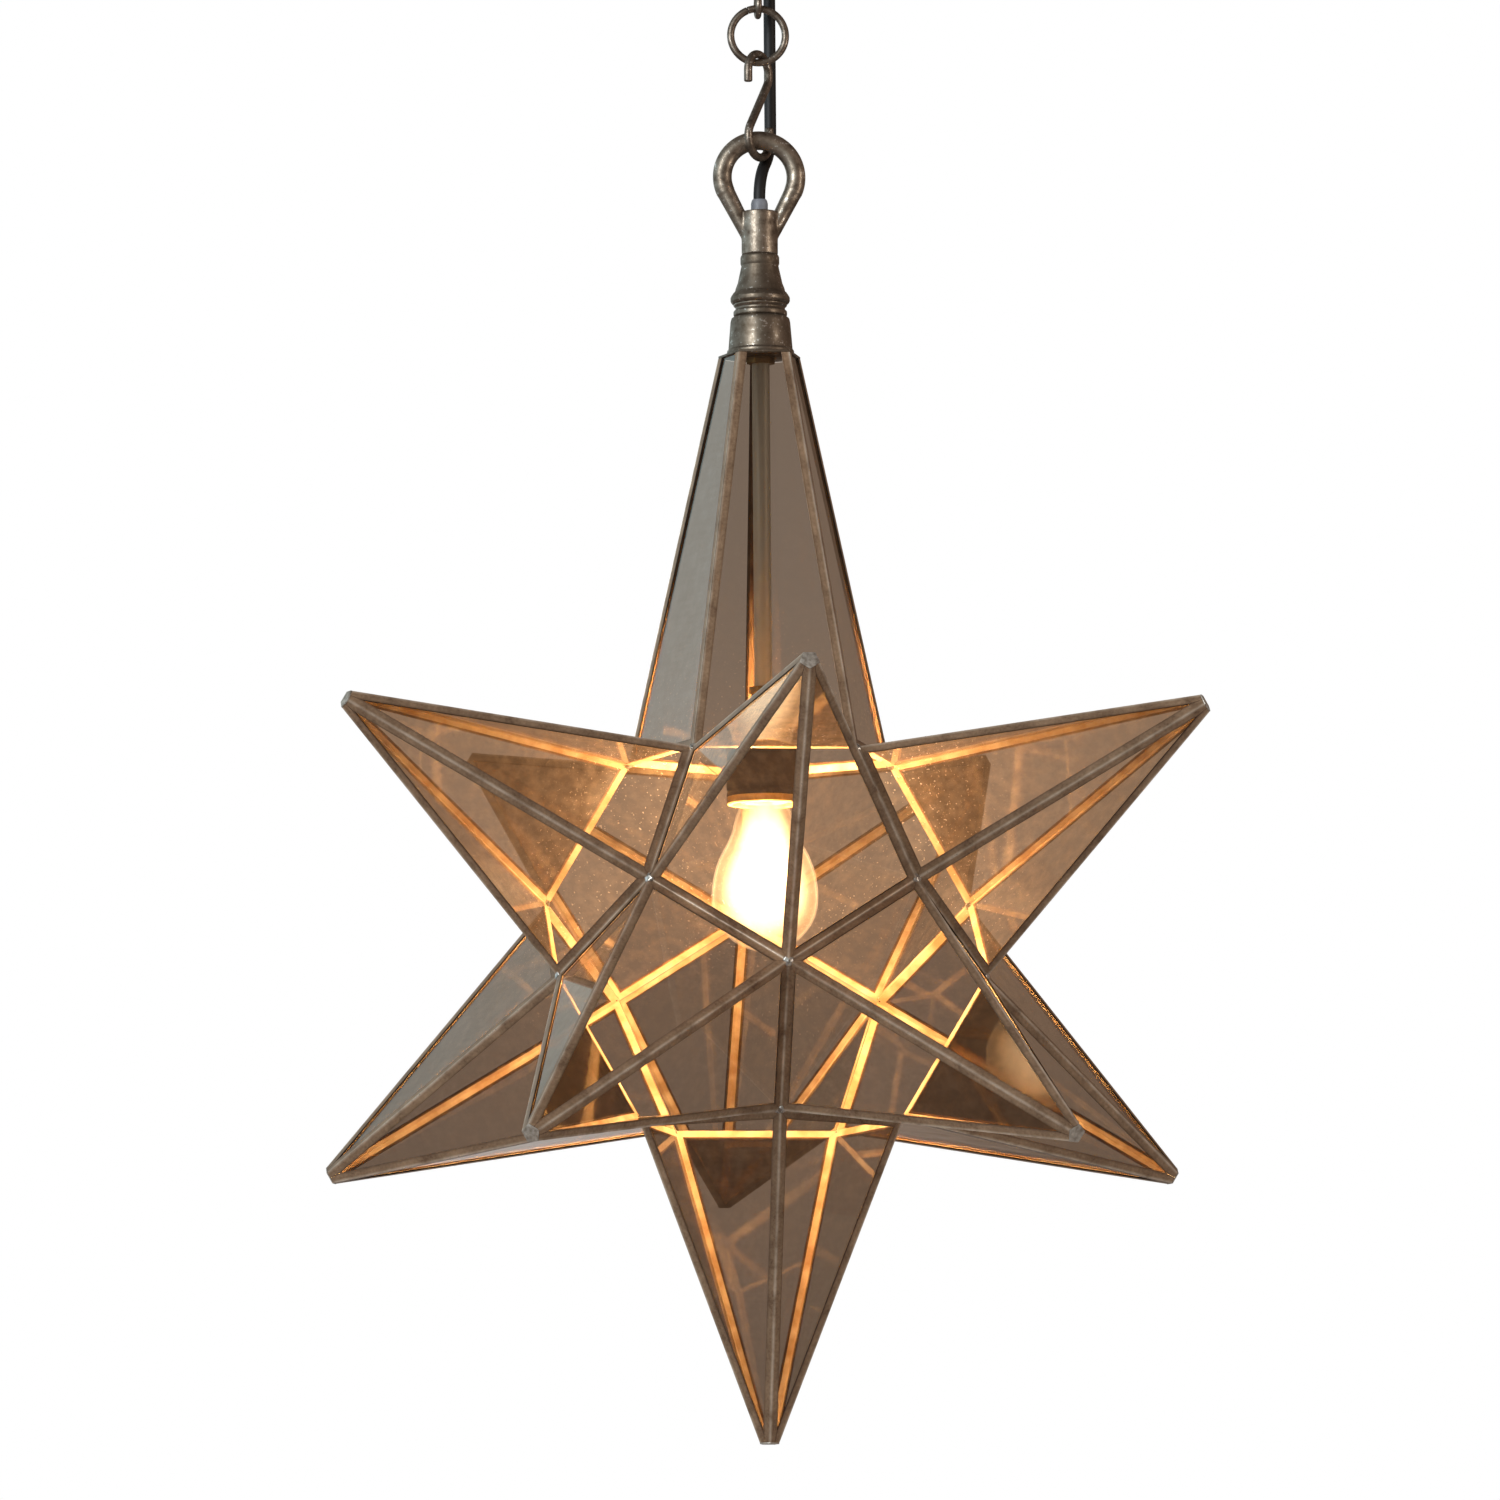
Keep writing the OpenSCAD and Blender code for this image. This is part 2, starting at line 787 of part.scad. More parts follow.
module socket_dome() {
    top_r = stem_r + thread_gap;
    outer = [for (t = [20:10:90]) [body_r * sin(t), z_dome_foot + dome_h * cos(t)]];
    inner_r = body_r - socket_wall;
    inner_h = dome_h - socket_wall;
    inner = [for (t = [90:-10:30]) [inner_r * sin(t), z_dome_foot + inner_h * cos(t)]];
    lid = socket_top - 2 * socket_wall;
    color(dark)
        from_star()
            rotate_extrude()
                polygon(concat(
                    [[top_r, socket_top]],
                    [[body_r * sin(20) - 0.6, socket_top]],
                    outer,
                    inner,
                    [[8, lid]],
                    [[top_r, lid]]
                ));
}

module socket_body() {
    color(dark)
        from_star()
            translate([0, 0, z_body_foot])
                difference() {
                    cylinder(r = body_r, h = body_h);
                    translate([0, 0, -1])
                        cylinder(r = body_r - socket_wall, h = body_h + 2);
                }
}

module socket_rim() {
    color(brass)
        from_star()
            translate([0, 0, z_rim_foot])
                difference() {
                    cylinder(r = body_r, h = rim_h);
                    translate([0, 0, -1])
                        cylinder(r = body_r - 3.5, h = rim_h + 2);
                }
}

// Ceramic block that fills the top of the socket's body and reaches down round the shell
module socket_insulator() {
    outer = body_r - socket_wall - 0.2;
    color(white)
        from_star()
            difference() {
                translate([0, 0, z_shell_foot + 8])
                    cylinder(r = outer, h = z_dome_foot + insulator_t - z_shell_foot - 8 - 0.2);
                translate([0, 0, z_shell_foot + 7])
                    cylinder(r = shell_r + shell_t + 0.2, h = z_dome_foot - z_shell_foot - 7);
                translate([0, 0, z_dome_foot + 2])
                    dome_cut(outer);
            }
}

// The block's top corners are cut back inside the dome
module dome_cut(outer) {
    difference() {
        cylinder(r = outer + 1, h = insulator_t + 1);
        translate([0, 0, -1])
            cylinder(r1 = outer - 0.6, r2 = outer - 5, h = insulator_t + 3);
    }
}

module screw_shell() {
    color(brass)
        from_star()
            translate([0, 0, z_shell_foot])
                difference() {
                    cylinder(r = shell_r + shell_t, h = z_dome_foot - z_shell_foot);
                    translate([0, 0, -1])
                        cylinder(r = shell_r, h = z_dome_foot - z_shell_foot + 2);
                }
}

module socket_contact() {
    color(brass)
        from_star()
            translate([0, 0, z_contact])
                cylinder(r = 5, h = contact_t);
}

// Bulb: half of its outline, from the foot to the screw cap, at a distance in from the glass
function bulb_outline(inset) = concat(
    [for (t = [0:10:130]) [
        (bulb_r - inset) * sin(t),
        z_bulb_foot + bulb_r - (bulb_r - inset) * cos(t) * (t < 90 ? 1 : bulb_rise)
    ]],
    [
        [bulb_r * 0.7 - inset, up_neck(0.13)],
        [bulb_r * 0.61 - inset, up_neck(0.37)],
        [bulb_r * 0.55 - inset, up_neck(0.64)],
        [bulb_cap_r + 0.9 - inset, up_neck(0.89)],
        [bulb_cap_r - 0.4 - inset, z_bulb_cap]
    ]
);
// Height at a share of the way up the neck, which starts where the round part ends
z_bulb_round = z_bulb_foot + bulb_r * (1 - bulb_rise * cos(130));
function up_neck(share) = z_bulb_round + share * (z_bulb_cap - z_bulb_round);

module bulb_glass() {
    outer = bulb_outline(0);
    inner = bulb_outline(bulb_wall);
    n = len(inner);
    color(clear)
        from_star()
            rotate_extrude()
                polygon(concat(outer, [for (i = [0:n - 1]) inner[n - 1 - i]]));
}

module bulb_cap() {
    color(brass)
        from_star()
            rotate_extrude()
                polygon([
                    [0, z_bulb_cap],
                    [bulb_cap_r, z_bulb_cap],
                    [bulb_cap_r, z_bulb_cap + bulb_cap_h - 3],
                    [bulb_cap_r - 4, z_bulb_cap + bulb_cap_h],
                    [4.8, z_bulb_cap + bulb_cap_h],
                    [4.2, z_bulb_top - 1],
                    [2.6, z_bulb_top],
                    [0, z_bulb_top]
                ]);
}

// Glass mount, two lead wires and the filament between them
module bulb_filament() {
    wire_r = 0.45;
    fork = bulb_r * 0.37;
    glass_h = z_bulb_cap - z_bulb_foot;
    z_fork = z_bulb_foot + glass_h * 0.48;
    z_mount = z_bulb_foot + glass_h * 0.75;
    color(steel)
        from_star() {
            translate([0, 0, z_mount])
                cylinder(r1 = 3, r2 = 6, h = z_bulb_cap - z_mount, $fn = 32);
            for (side = [0, 180])
                rotate(side)
                    lead_wire(wire_r, fork, z_fork, z_mount);
            translate([-fork - wire_r, 0, z_fork])
                rotate([0, 90, 0])
                    cylinder(r = 0.6, h = 2 * fork + 2 * wire_r, $fn = 24);
        }
}

module lead_wire(r, out, z_low, z_high) {
    run = [out - 1.5, z_high + 1 - z_low];
    translate([1.5, 0, z_high + 1])
        rotate([0, 180 - atan2(run[0], run[1]), 0])
            cylinder(r = r, h = norm(run), $fn = 24);
}

module link_ring() {
    split = 0.6;
    split_at = 68;
    color(pewter)
        from_star()
            translate([0, 0, z_link])
                rotate([90, 0, 0])
                    rotate(180 - split_at + split)
                        rotate_extrude(angle = 360 - 2 * split)
                            translate([link_r, 0])
                                circle(r = link_wire_r, $fn = 48);
}

// S-hook in the plane of its X and Y, between the centres of its two bends
module s_hook() {
    low_r = hook_low_r + hook_wire_r;
    high_r = hook_high_r + hook_wire_r;
    slope = acos((low_r + high_r) / hook_span);
    sweep = 180 + 90 - slope;
    spine = sqrt(pow(hook_span, 2) - pow(low_r + high_r, 2));
    color(pewter)
        from_star()
            translate([0, 0, z_hook_low])
                rotate([90, 0, hook_turn]) {
                    translate([0, hook_span]) {
                        rotate(slope - 90)
                            bend(high_r, sweep);
                        translate([-high_r, hook_lap, 0])
                            rotate([90, 0, 0])
                                hook_end(hook_high_tip);
                    }
                    rotate(slope + 90)
                        bend(low_r, sweep);
                    translate([low_r, -hook_lap, 0])
                        rotate([-90, 0, 0])
                            hook_end(hook_low_tip);
                    rotate(slope + 90)
                        translate([low_r, hook_lap, 0])
                            rotate([90, 0, 0])
                                cylinder(r = hook_rod_r, h = spine + 2 * hook_lap, $fn = 48);
                }
}
// The straight parts are a hair thinner than the bends and reach into them
hook_lap = 0.4;
hook_rod_r = hook_wire_r - 0.05;

module bend(r, sweep) {
    rotate_extrude(angle = sweep)
        translate([r, 0])
            circle(r = hook_wire_r, $fn = 48);
}

module hook_end(h) {
    rotate_extrude($fn = 48)
        polygon([
            [0, 0],
            [hook_rod_r, 0],
            [hook_rod_r, h - 1],
            [hook_rod_r - 0.8, h],
            [0, h]
        ]);
}

// Open eye under a straight shank
module ceiling_hook() {
    color(pewter)
        from_star() {
            translate([0, 0, z_eye])
                rotate([90, 0, 90])
                    rotate(90)
                        rotate_extrude(angle = -290)
                            translate([eye_mid_r, 0])
                                circle(r = eye_wire_r, $fn = 48);
            translate([0, 0, z_eye_top - eye_wire_r * 0.5])
                cylinder(r = eye_wire_r + 0.4, h = shank_len);
        }
}

module lock_ring() {
    bore = eye_wire_r + 0.4 + thread_gap;
    color(pewter)
        from_star()
            rotate_extrude()
                polygon([
                    [bore, z_lock_ring],
                    [lock_ring_r - 2, z_lock_ring],
                    [lock_ring_r, z_lock_ring + 2],
                    [lock_ring_r, z_canopy],
                    [bore, z_canopy]
                ]);
}

// Points of the canopy's bowl, from its flat middle out to the ceiling
function bowl(r, h, z, steps) = [
    for (i = [0:steps])
        let (t = 12 + (90 - 12) * i / steps)
            [r * sin(t), z - h * cos(t) / cos(12)]
];

module canopy() {
    outer = bowl(canopy_r, canopy_h, z_ceiling, 12);
    inner = bowl(canopy_r - canopy_wall, canopy_h - canopy_wall, z_ceiling, 12);
    bore = eye_wire_r + 0.4 + thread_gap;
    n = len(inner);
    color(pewter)
        from_star()
            difference() {
                rotate_extrude()
                    polygon(concat(
                        [[bore, z_canopy]],
                        outer,
                        [for (i = [0:n - 1]) inner[n - 1 - i]],
                        [[bore, z_canopy + canopy_wall]]
                    ));
                translate([grip_at[0], grip_at[1], z_canopy - 1])
                    cylinder(r = grip_r + thread_gap, h = 12);
            }
}

// Hat-shaped strap: two ears on the ceiling and a lower middle that carries the hook
module ceiling_bracket() {
    ear = 12;
    middle = bracket_pitch / 2 - ear / 2 - 1;
    shank_hole = eye_wire_r + 0.4 + thread_gap;
    color(steel)
        translate([0, 0, -bracket_drop])
            difference() {
                union() {
                    translate([-middle, -bracket_w / 2, -bracket_t])
                        cube([2 * middle, bracket_w, bracket_t]);
                    for (side = [0, 1])
                        mirror([side, 0, 0]) {
                            translate([middle - bracket_t, -bracket_w / 2, -bracket_t])
                                cube([bracket_t, bracket_w, bracket_drop + bracket_t]);
                            translate([middle - bracket_t, -9, bracket_drop - bracket_t])
                                cube([ear + bracket_t, 18, bracket_t]);
                        }
                }
                translate([0, 0, -bracket_t - 1])
                    cylinder(r = shank_hole, h = bracket_t + 2);
                for (side = [-1, 1])
                    translate([side * bracket_pitch / 2, 0, bracket_drop - bracket_t - 1])
                        cylinder(r = bracket_hole_r, h = bracket_t + 2);
            }
}

module hook_nut() {
    color(steel)
        translate([0, 0, -bracket_drop])
            linear_extrude(3.5)
                difference() {
                    circle(r = 5, $fn = 6);
                    circle(r = eye_wire_r + 0.4 + thread_gap);
                }
}

// The grip stands where the flex reaches the canopy
grip_at = [8.4, 18.1];
grip_r = flex_r + flex_gap + 1.5;
z_grip = z_canopy - 3;
grip_len = 7;
block_size = [20, 14, 9];
z_block = z_ceiling - bracket_drop - bracket_t - block_size[2];

module cord_grip() {
    color(dark)
        from_star()
            translate([grip_at[0], grip_at[1], z_grip])
                difference() {
                    union() {
                        cylinder(r = grip_r, h = grip_len);
                        cylinder(r = grip_r + 1.5, h = 3);
                    }
                    translate([0, 0, -1])
                        cylinder(r = flex_r + flex_gap, h = grip_len + 2);
                }
}

module terminal_block() {
    color(white)
        from_star()
            translate([grip_at[0] - block_size[0] / 2, block_y, z_block])
                difference() {
                    cube(block_size);
                    for (i = [0:2])
                        translate([block_size[0] * (i + 0.5) / 3, 3.5, -1])
                            cylinder(r = 1.7, h = 5, $fn = 32);
                }
}
block_y = bracket_w / 2 - 4;

module terminal_screws() {
    color(steel)
        from_star()
            for (i = [0:2])
                translate([
                    grip_at[0] - block_size[0] / 2 + block_size[0] * (i + 0.5) / 3,
                    block_y + 3.5,
                    z_block + 0.5
                ])
                    cylinder(r = 1.6, h = 3.5, $fn = 32);
}

// The flex inside the canopy, from the grip's foot to the terminal block
module rose_flex() {
    color(dark)
        from_star()
            translate([grip_at[0], grip_at[1], z_grip])
                cylinder(r = flex_r, h = z_block - z_grip - 0.1, $fn = 48);
}

// Route of the flex: out of the gland, back behind the loop in two bends, then straight up
flex_out = 0.6;
flex_shift = norm(grip_at);
bend_angle = acos(1 - flex_shift / (2 * flex_bend_r));
bend_rise = 2 * flex_bend_r * sin(bend_angle);
z_join_low = z_gland_top + flex_out + bend_rise;
z_join_high = (z_join_low + z_grip) / 2;
bend_steps = 8;
function bend_at(a) = flex_bend_r * [1 - cos(a), sin(a)];
function flex_at(v) = [for (c = grip_at / flex_shift) c * v[0]];
function flex_point(v) = concat(flex_at(v), [z_gland_top + flex_out + v[1]]);
ROUTE_LOWER = concat(
    [[0, 0, z_gland_top]],
    [for (i = [0:bend_steps]) flex_point(bend_at(bend_angle * i / bend_steps))],
    [for (i = [bend_steps - 1:-1:0])
        flex_point([flex_shift, bend_rise] - bend_at(bend_angle * i / bend_steps))]
);
ROUTE_MIDDLE = [for (i = [0:5]) straight(z_join_low, z_join_high, i / 5)];
ROUTE_UPPER = [for (i = [0:5]) straight(z_join_high, z_grip, i / 5)];
function straight(low, high, t) = concat(grip_at, [low + (high - low) * t]);
flex_sides = 12;

function heading(c, i) =
    i == 0 || i == len(c) - 1 ? [0, 0, 1] : unit(c[i + 1] - c[i - 1]);
function flex_ring(centre, along) =
    let (
        u = unit([1, 0, 0] - along[0] * along),
        v = cross(along, u)
    )
    [for (k = [0:flex_sides - 1])
        centre + flex_r * (u * cos(360 * k / flex_sides) + v * sin(360 * k / flex_sides))];

// Tube with flat ends along a route
module flex(route) {
    n = len(route);
    m = flex_sides;
    points = [for (i = [0:n - 1]) each flex_ring(route[i], heading(route, i))];
    low = [[for (k = [0:m - 1]) m - 1 - k]];
    high = [[for (k = [0:m - 1]) (n - 1) * m + k]];
    sides = [
        for (i = [0:n - 2])
            for (k = [0:m - 1])
                let (
                    a = i * m + k,
                    b = i * m + (k + 1) % m
                )
                each [[a, b, b + m], [a, b + m, a + m]]
    ];
    color(dark)
        from_star()
            polyhedron(points, concat(low, sides, high));
}

module flex_lower() {
    flex(ROUTE_LOWER);
}

module flex_middle() {
    flex(ROUTE_MIDDLE);
}

module flex_upper() {
    flex(ROUTE_UPPER);
}

ceiling_bracket();
canopy();
ceiling_hook();
hook_nut();
lock_ring();
cord_grip();
terminal_block();
terminal_screws();
rose_flex();
link_ring();
s_hook();
flex_lower();
flex_middle();
flex_upper();
loop_casting();
flex_gland();
cone_coupler();
bead_ring();
cap_sleeve();
cap_plate();
stem_tube();
stem_flex();
cap_nut();
socket_nut();
socket_dome();
socket_body();
socket_rim();
socket_insulator();
screw_shell();
socket_contact();
glass(TOP);  // top_glass
glass(BOTTOM);  // bottom_glass
glass(upper(0));  // upper_glass_1
glass(upper(1));  // upper_glass_2
glass(upper(2));  // upper_glass_3
glass(upper(3));  // upper_glass_4
glass(upper(4));  // upper_glass_5
glass(lower(0));  // lower_glass_1
glass(lower(1));  // lower_glass_2
glass(DOOR);  // door_glass
glass(lower(3));  // lower_glass_4
glass(lower(4));  // lower_glass_5
top_ridge_strips();
upper_ridge_strips();
lower_ridge_strips();
bottom_ridge_strips();
door_ridge_strips();
valley_strips();
door_seat_strips();
door_base_strips();
tip_plates();
door_tip_plate();
hinge_star_leaf();
hinge_door_leaf();
hinge_pin();
door_pull();
bulb_glass();
bulb_cap();
bulb_filament();
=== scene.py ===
# %% [markdown]
# # Star pendant light
# The lamp is a star of twelve glass points on a twelve-sided core, framed in soldered
# metal strips, hung by a cast loop, an S-hook and a link ring from a ceiling hook.
# The frame loads first: it fixes where each part is, and the pieces made here only
# dress it.

# %% Load the frame
import json
from math import acos, atan, atan2, cos, degrees, hypot, pi, radians, sin, sqrt, tan

import bmesh
import bpy
from mathutils import Matrix, Vector, noise

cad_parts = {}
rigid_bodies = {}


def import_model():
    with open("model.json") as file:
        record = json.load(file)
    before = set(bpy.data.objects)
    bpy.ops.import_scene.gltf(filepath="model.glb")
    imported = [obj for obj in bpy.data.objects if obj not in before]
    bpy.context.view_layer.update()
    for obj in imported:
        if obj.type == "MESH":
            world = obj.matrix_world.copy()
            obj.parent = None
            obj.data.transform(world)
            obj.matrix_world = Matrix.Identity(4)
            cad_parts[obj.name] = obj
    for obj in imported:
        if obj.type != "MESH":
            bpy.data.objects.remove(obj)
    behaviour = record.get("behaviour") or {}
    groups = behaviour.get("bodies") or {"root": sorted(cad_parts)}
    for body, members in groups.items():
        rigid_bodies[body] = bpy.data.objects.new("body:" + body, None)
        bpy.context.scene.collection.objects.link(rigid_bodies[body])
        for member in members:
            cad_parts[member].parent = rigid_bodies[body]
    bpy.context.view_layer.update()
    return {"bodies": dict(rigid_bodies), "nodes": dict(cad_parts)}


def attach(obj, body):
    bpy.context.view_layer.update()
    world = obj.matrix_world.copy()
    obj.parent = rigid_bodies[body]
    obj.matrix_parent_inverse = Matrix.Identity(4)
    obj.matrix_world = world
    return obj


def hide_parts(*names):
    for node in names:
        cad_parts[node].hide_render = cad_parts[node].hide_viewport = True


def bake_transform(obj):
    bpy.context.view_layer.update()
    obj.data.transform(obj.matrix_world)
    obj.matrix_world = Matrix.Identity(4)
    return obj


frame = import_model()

nodes = frame["nodes"]

# %% [markdown]
# ## Measures
# The numbers are the maker's millimetres, counted from the star's centre. One matrix
# takes them to metres under the ceiling, so that no piece needs its own conversion.

# %% Millimetres from the star's centre
CEILING = 578.6
TO_FRAME = Matrix.Scale(0.001, 4) @ Matrix.Translation((0, 0, -CEILING))


def metres(x, y, z):
    return TO_FRAME @ Vector((x, y, z))


star_centre = metres(0, 0, 0)
print("star centre:", star_centre[:])

# %% [markdown]
# The bulb is made late, but its sizes come first: the light of its filament shows on the
# glass around it, so the finishes of the glass need to know where the filament is.

# %% Sizes of the bulb
BULB_R, BULB_FOOT, BULB_CAP, BULB_TOP = 30, -5.9, 78.1, 104.1
BULB_RISE = 1.43
GLASS_HEIGHT = BULB_CAP - BULB_FOOT
Z_FILAMENT = BULB_FOOT + GLASS_HEIGHT * 0.48
FILAMENT = metres(0, 0, Z_FILAMENT)
print("filament:", FILAMENT[:])

# %% [markdown]
# ## Camera
# The photograph looks up at the lamp from far away, a little from its left. A long lens
# keeps the upper and lower points nearly the same size, as they are there. The camera is
# placed from the star's centre by its own three directions.


# %% Camera
def put_in_scene(name, data):
    thing = bpy.data.objects.new(name, data)
    bpy.context.scene.collection.objects.link(thing)
    return thing


yaw, pitch, roll = radians(5.64), radians(6.98), radians(0.45)
distance, aside, over = 6.0, -0.0086, 0.1073
ahead = Vector((sin(yaw) * cos(pitch), cos(yaw) * cos(pitch), sin(pitch)))
level = Vector((cos(yaw), -sin(yaw), 0))
upward = level.cross(ahead)
right = level * cos(roll) - upward * sin(roll)
above = upward * cos(roll) + level * sin(roll)
eye = star_centre - distance * ahead + aside * right + over * above

camera_data = bpy.data.cameras.new("camera")
camera_data.lens = 256.2
camera_data.sensor_width = 36
camera = put_in_scene("camera", camera_data)
turn = Matrix((right, above, -ahead)).transposed().to_4x4()
camera.matrix_world = Matrix.Translation(eye) @ turn
bpy.context.scene.camera = camera
bpy.context.scene.view_settings.view_transform = "Standard"
print("camera at", [round(v, 3) for v in eye])

# %% [markdown]
# ## A paint box
# Every finish is a small network of nodes. It could be wired by hand in the editor, but
# sums written as Python are easier to read and change. A `Value` is one number that
# changes over the surface, and each sign between two of them adds a Math node.


# %% Numbers that change over a surface
class Value:
    def __init__(self, tree, socket):
        self.tree = tree
        self.socket = socket

    def sum(self, operation, first, second=0.0, clamp=False):
        node = self.tree.nodes.new("ShaderNodeMath")
        node.operation = operation
        node.use_clamp = clamp
        for slot, term in zip(node.inputs, (first, second)):
            if isinstance(term, Value):
                self.tree.links.new(term.socket, slot)
            else:
                slot.default_value = term
        return Value(self.tree, node.outputs[0])

    def __add__(self, other):
        return self.sum("ADD", self, other)

    def __sub__(self, other):
        return self.sum("SUBTRACT", self, other)

    def __rsub__(self, other):
        return self.sum("SUBTRACT", other, self)

    def __mul__(self, other):
        return self.sum("MULTIPLY", self, other)

    def __truediv__(self, other):
        return self.sum("DIVIDE", self, other)

    def __rtruediv__(self, other):
        return self.sum("DIVIDE", other, self)

    def __pow__(self, other):
        return self.sum("POWER", self, other)

    __radd__ = __add__
    __rmul__ = __mul__

    def held(self):
        """The same number, kept between 0 and 1."""
        return self.sum("ADD", self, 0.0, clamp=True)

    def above(self, limit, width):
        """0 below the limit, rising to 1 over the width."""
        return ((self - limit) * (1 / width)).held()


print("numbers ready")

# %% [markdown]
# `NodeBox` holds the nodes of one finish, or of the world. It adds every node through one
# method: its kind, its settings, and what goes into it, be it a number, a colour or a
# wire from another node.


# %% A box of nodes
class NodeBox:
    def __init__(self, name, world=None):
        self.material = world or bpy.data.materials.new(name)
        self.material.use_nodes = True
        self.tree = self.material.node_tree
        self.tree.nodes.clear()

    def add(self, kind, settings=(), inputs=()):
        node = self.tree.nodes.new("ShaderNode" + kind)
        for name, setting in dict(settings).items():
            if name == "stops":
                ramp = node.color_ramp
                while len(ramp.elements) < len(setting):
                    ramp.elements.new(0.5)
                for element, (place, colour) in zip(ramp.elements, setting):
                    element.position = place
                    element.color = (*colour, 1)
            else:
                setattr(node, name, setting)
        for name, term in dict(inputs).items():
            slot = node.inputs[name]
            if isinstance(term, Value):
                self.tree.links.new(term.socket, slot)
            elif isinstance(term, bpy.types.NodeSocket):
                self.tree.links.new(term, slot)
            elif slot.type == "RGBA" and len(term) == 3:
                slot.default_value = (*term, 1)
            else:
                slot.default_value = term
        return node

    def value(self, socket):
        return Value(self.tree, socket)


print("box of nodes ready")

# %% [markdown]
# `Paint` is a box of nodes that knows the few recipes which several finishes share: soft
# patches, a distance, a mark that was written on the piece, a blend of two colours,
# shallow bumps, and the last mix for anything that can be seen through.


# %% A paint box with recipes
class Paint(NodeBox):
    def place(self, scale=(1, 1, 1)):
        """Position on the object in metres, stretched for a pattern."""
        spot = self.add("TexCoord").outputs["Object"]
        inputs = {"Vector": spot, "Scale": scale}
        return self.add("Mapping", {"vector_type": "POINT"}, inputs).outputs[0]

    def cloud(self, size, detail, stretch=(1, 1, 1), rough=0.55):
        """Soft patches of the given size in millimetres, as a number from 0 to 1."""
        spot = self.place(tuple(1000 / size / s for s in stretch))
        inputs = {"Vector": spot, "Scale": 1.0, "Detail": detail, "Roughness": rough}
        return self.value(self.add("TexNoise", {}, inputs).outputs[0])

    def far_from(self, point):
        """Distance from a point on the object, in metres."""
        inputs = {0: self.place(), 1: point}
        node = self.add("VectorMath", {"operation": "DISTANCE"}, inputs)
        return self.value(node.outputs["Value"])

    def mark(self, name):
        """A number that the maker wrote on the piece's points."""
        node = self.add("Attribute", {"attribute_name": name, "attribute_type": "GEOMETRY"})
        return self.value(node.outputs["Fac"])

    def blend(self, share, first, second):
        settings = {"data_type": "RGBA"}
        return self.add("Mix", settings, {0: share, 6: first, 7: second}).outputs[2]

    def bump(self, height, depth_mm, strength):
        inputs = {"Height": height, "Distance": depth_mm / 1000, "Strength": strength}
        return self.add("Bump", {}, inputs).outputs["Normal"]

    def skin(self, **inputs):
        named = {name.replace("_", " ").title(): term for name, term in inputs.items()}
        return self.add("BsdfPrincipled", {}, named).outputs[0]

    def see_through(self, share, tint, face):
        """Mixes clear tinted glass with a face that hides the given share of it."""
        clear = self.add("BsdfTransparent", {}, {"Color": tint}).outputs[0]
        return self.add("MixShader", {}, {0: share.held(), 1: clear, 2: face}).outputs[0]

    def finish(self, shader):
        self.add("OutputMaterial", {}, {"Surface": shader})
        return self.material


print("paint box ready")

# %% [markdown]
# ## Metals
# Every metal on this lamp was bright once and then aged in a bath, rubbed back on the
# raised parts and touched for years. So each has two or three tones in soft patches, a
# gloss that changes with them, and shallow dents that break up the reflections.


# %% Aged cast metal
def aged_metal(name, dark, mid, pale, patch, pits):
    """Dark and mid tones in soft patches, with small bright chips."""
    p = Paint(name)
    big = p.cloud(patch, 4.0)
    fine = p.cloud(2.0, 3.0, rough=0.62)
    mottle = (big * 0.75 + fine * 0.25).above(0.34, 0.32)
    chips = (fine * 0.7 + big * 0.3).above(0.60, 0.05)
    colour = p.blend(chips, p.blend(mottle, dark, mid), pale)
    return p.finish(p.skin(
        base_color=colour, metallic=0.9, roughness=0.52 - mottle * 0.22,
        normal=p.bump(fine * 0.6 + big * 0.4, pits, 0.8),
    ))


cast_metal = aged_metal(
    "cast_metal", (0.13, 0.096, 0.07), (0.45, 0.375, 0.30), (0.90, 0.87, 0.82),
    patch=6.0, pits=0.22,
)
hook_metal = aged_metal(
    "hook_metal", (0.10, 0.075, 0.055), (0.33, 0.27, 0.22), (0.84, 0.82, 0.78),
    patch=5.0, pits=0.08,
)
turned_metal = aged_metal(
    "turned_metal", (0.11, 0.08, 0.055), (0.285, 0.235, 0.185), (0.72, 0.68, 0.62),
    patch=9.0, pits=0.06,
)
print("cast metals ready")

# %% [markdown]
# The strips are thin brass sheet with a brown patina. Their fold is pale in places, from wear
# and a painted highlight along the ridge, and they darken towards the lips, from patina and
# painted shade where they meet the glass. Each strip carries a number that grows from its
# fold to its lips, so the wear and the painted light can follow the strip wherever it runs.


# %% Outside of the strips
def strip_skin(name, low, mid, high):
    """Patina along the strip: pale on its fold from wear and a painted highlight, dark towards its
    lips from patina and painted shade.
    """
    p = Paint(name)
    out = p.mark("from_ridge")
    patch = p.cloud(14.0, 4.0)
    fine = p.cloud(1.6, 3.0, rough=0.65)
    # Pale fold: wear and a painted highlight along the ridge. Dark lips: patina and painted shade
    # where the strip meets the glass.
    wear_and_highlight = (1 - out * 3.2).held() * (patch * 2.6 - 0.65).held()
    dirt_and_painted_light = out.above(0.72, 0.28) * 0.75
    colour = p.blend((patch * 0.6 + fine * 0.5).above(0.32, 0.4), low, mid)
    colour = p.blend(dirt_and_painted_light, p.blend(wear_and_highlight, colour, high), low)
    return p.finish(p.skin(
        base_color=colour, metallic=0.6, roughness=0.30 + fine * 0.18 - wear_and_highlight * 0.12,
        normal=p.bump(fine * 0.5 + patch * 0.5, 0.12, 0.7),
    ))


strip_outer = strip_skin(
    "strip_outer", (0.135, 0.078, 0.045), (0.45, 0.295, 0.185), (0.74, 0.61, 0.48)
)
print("outside of the strips ready")
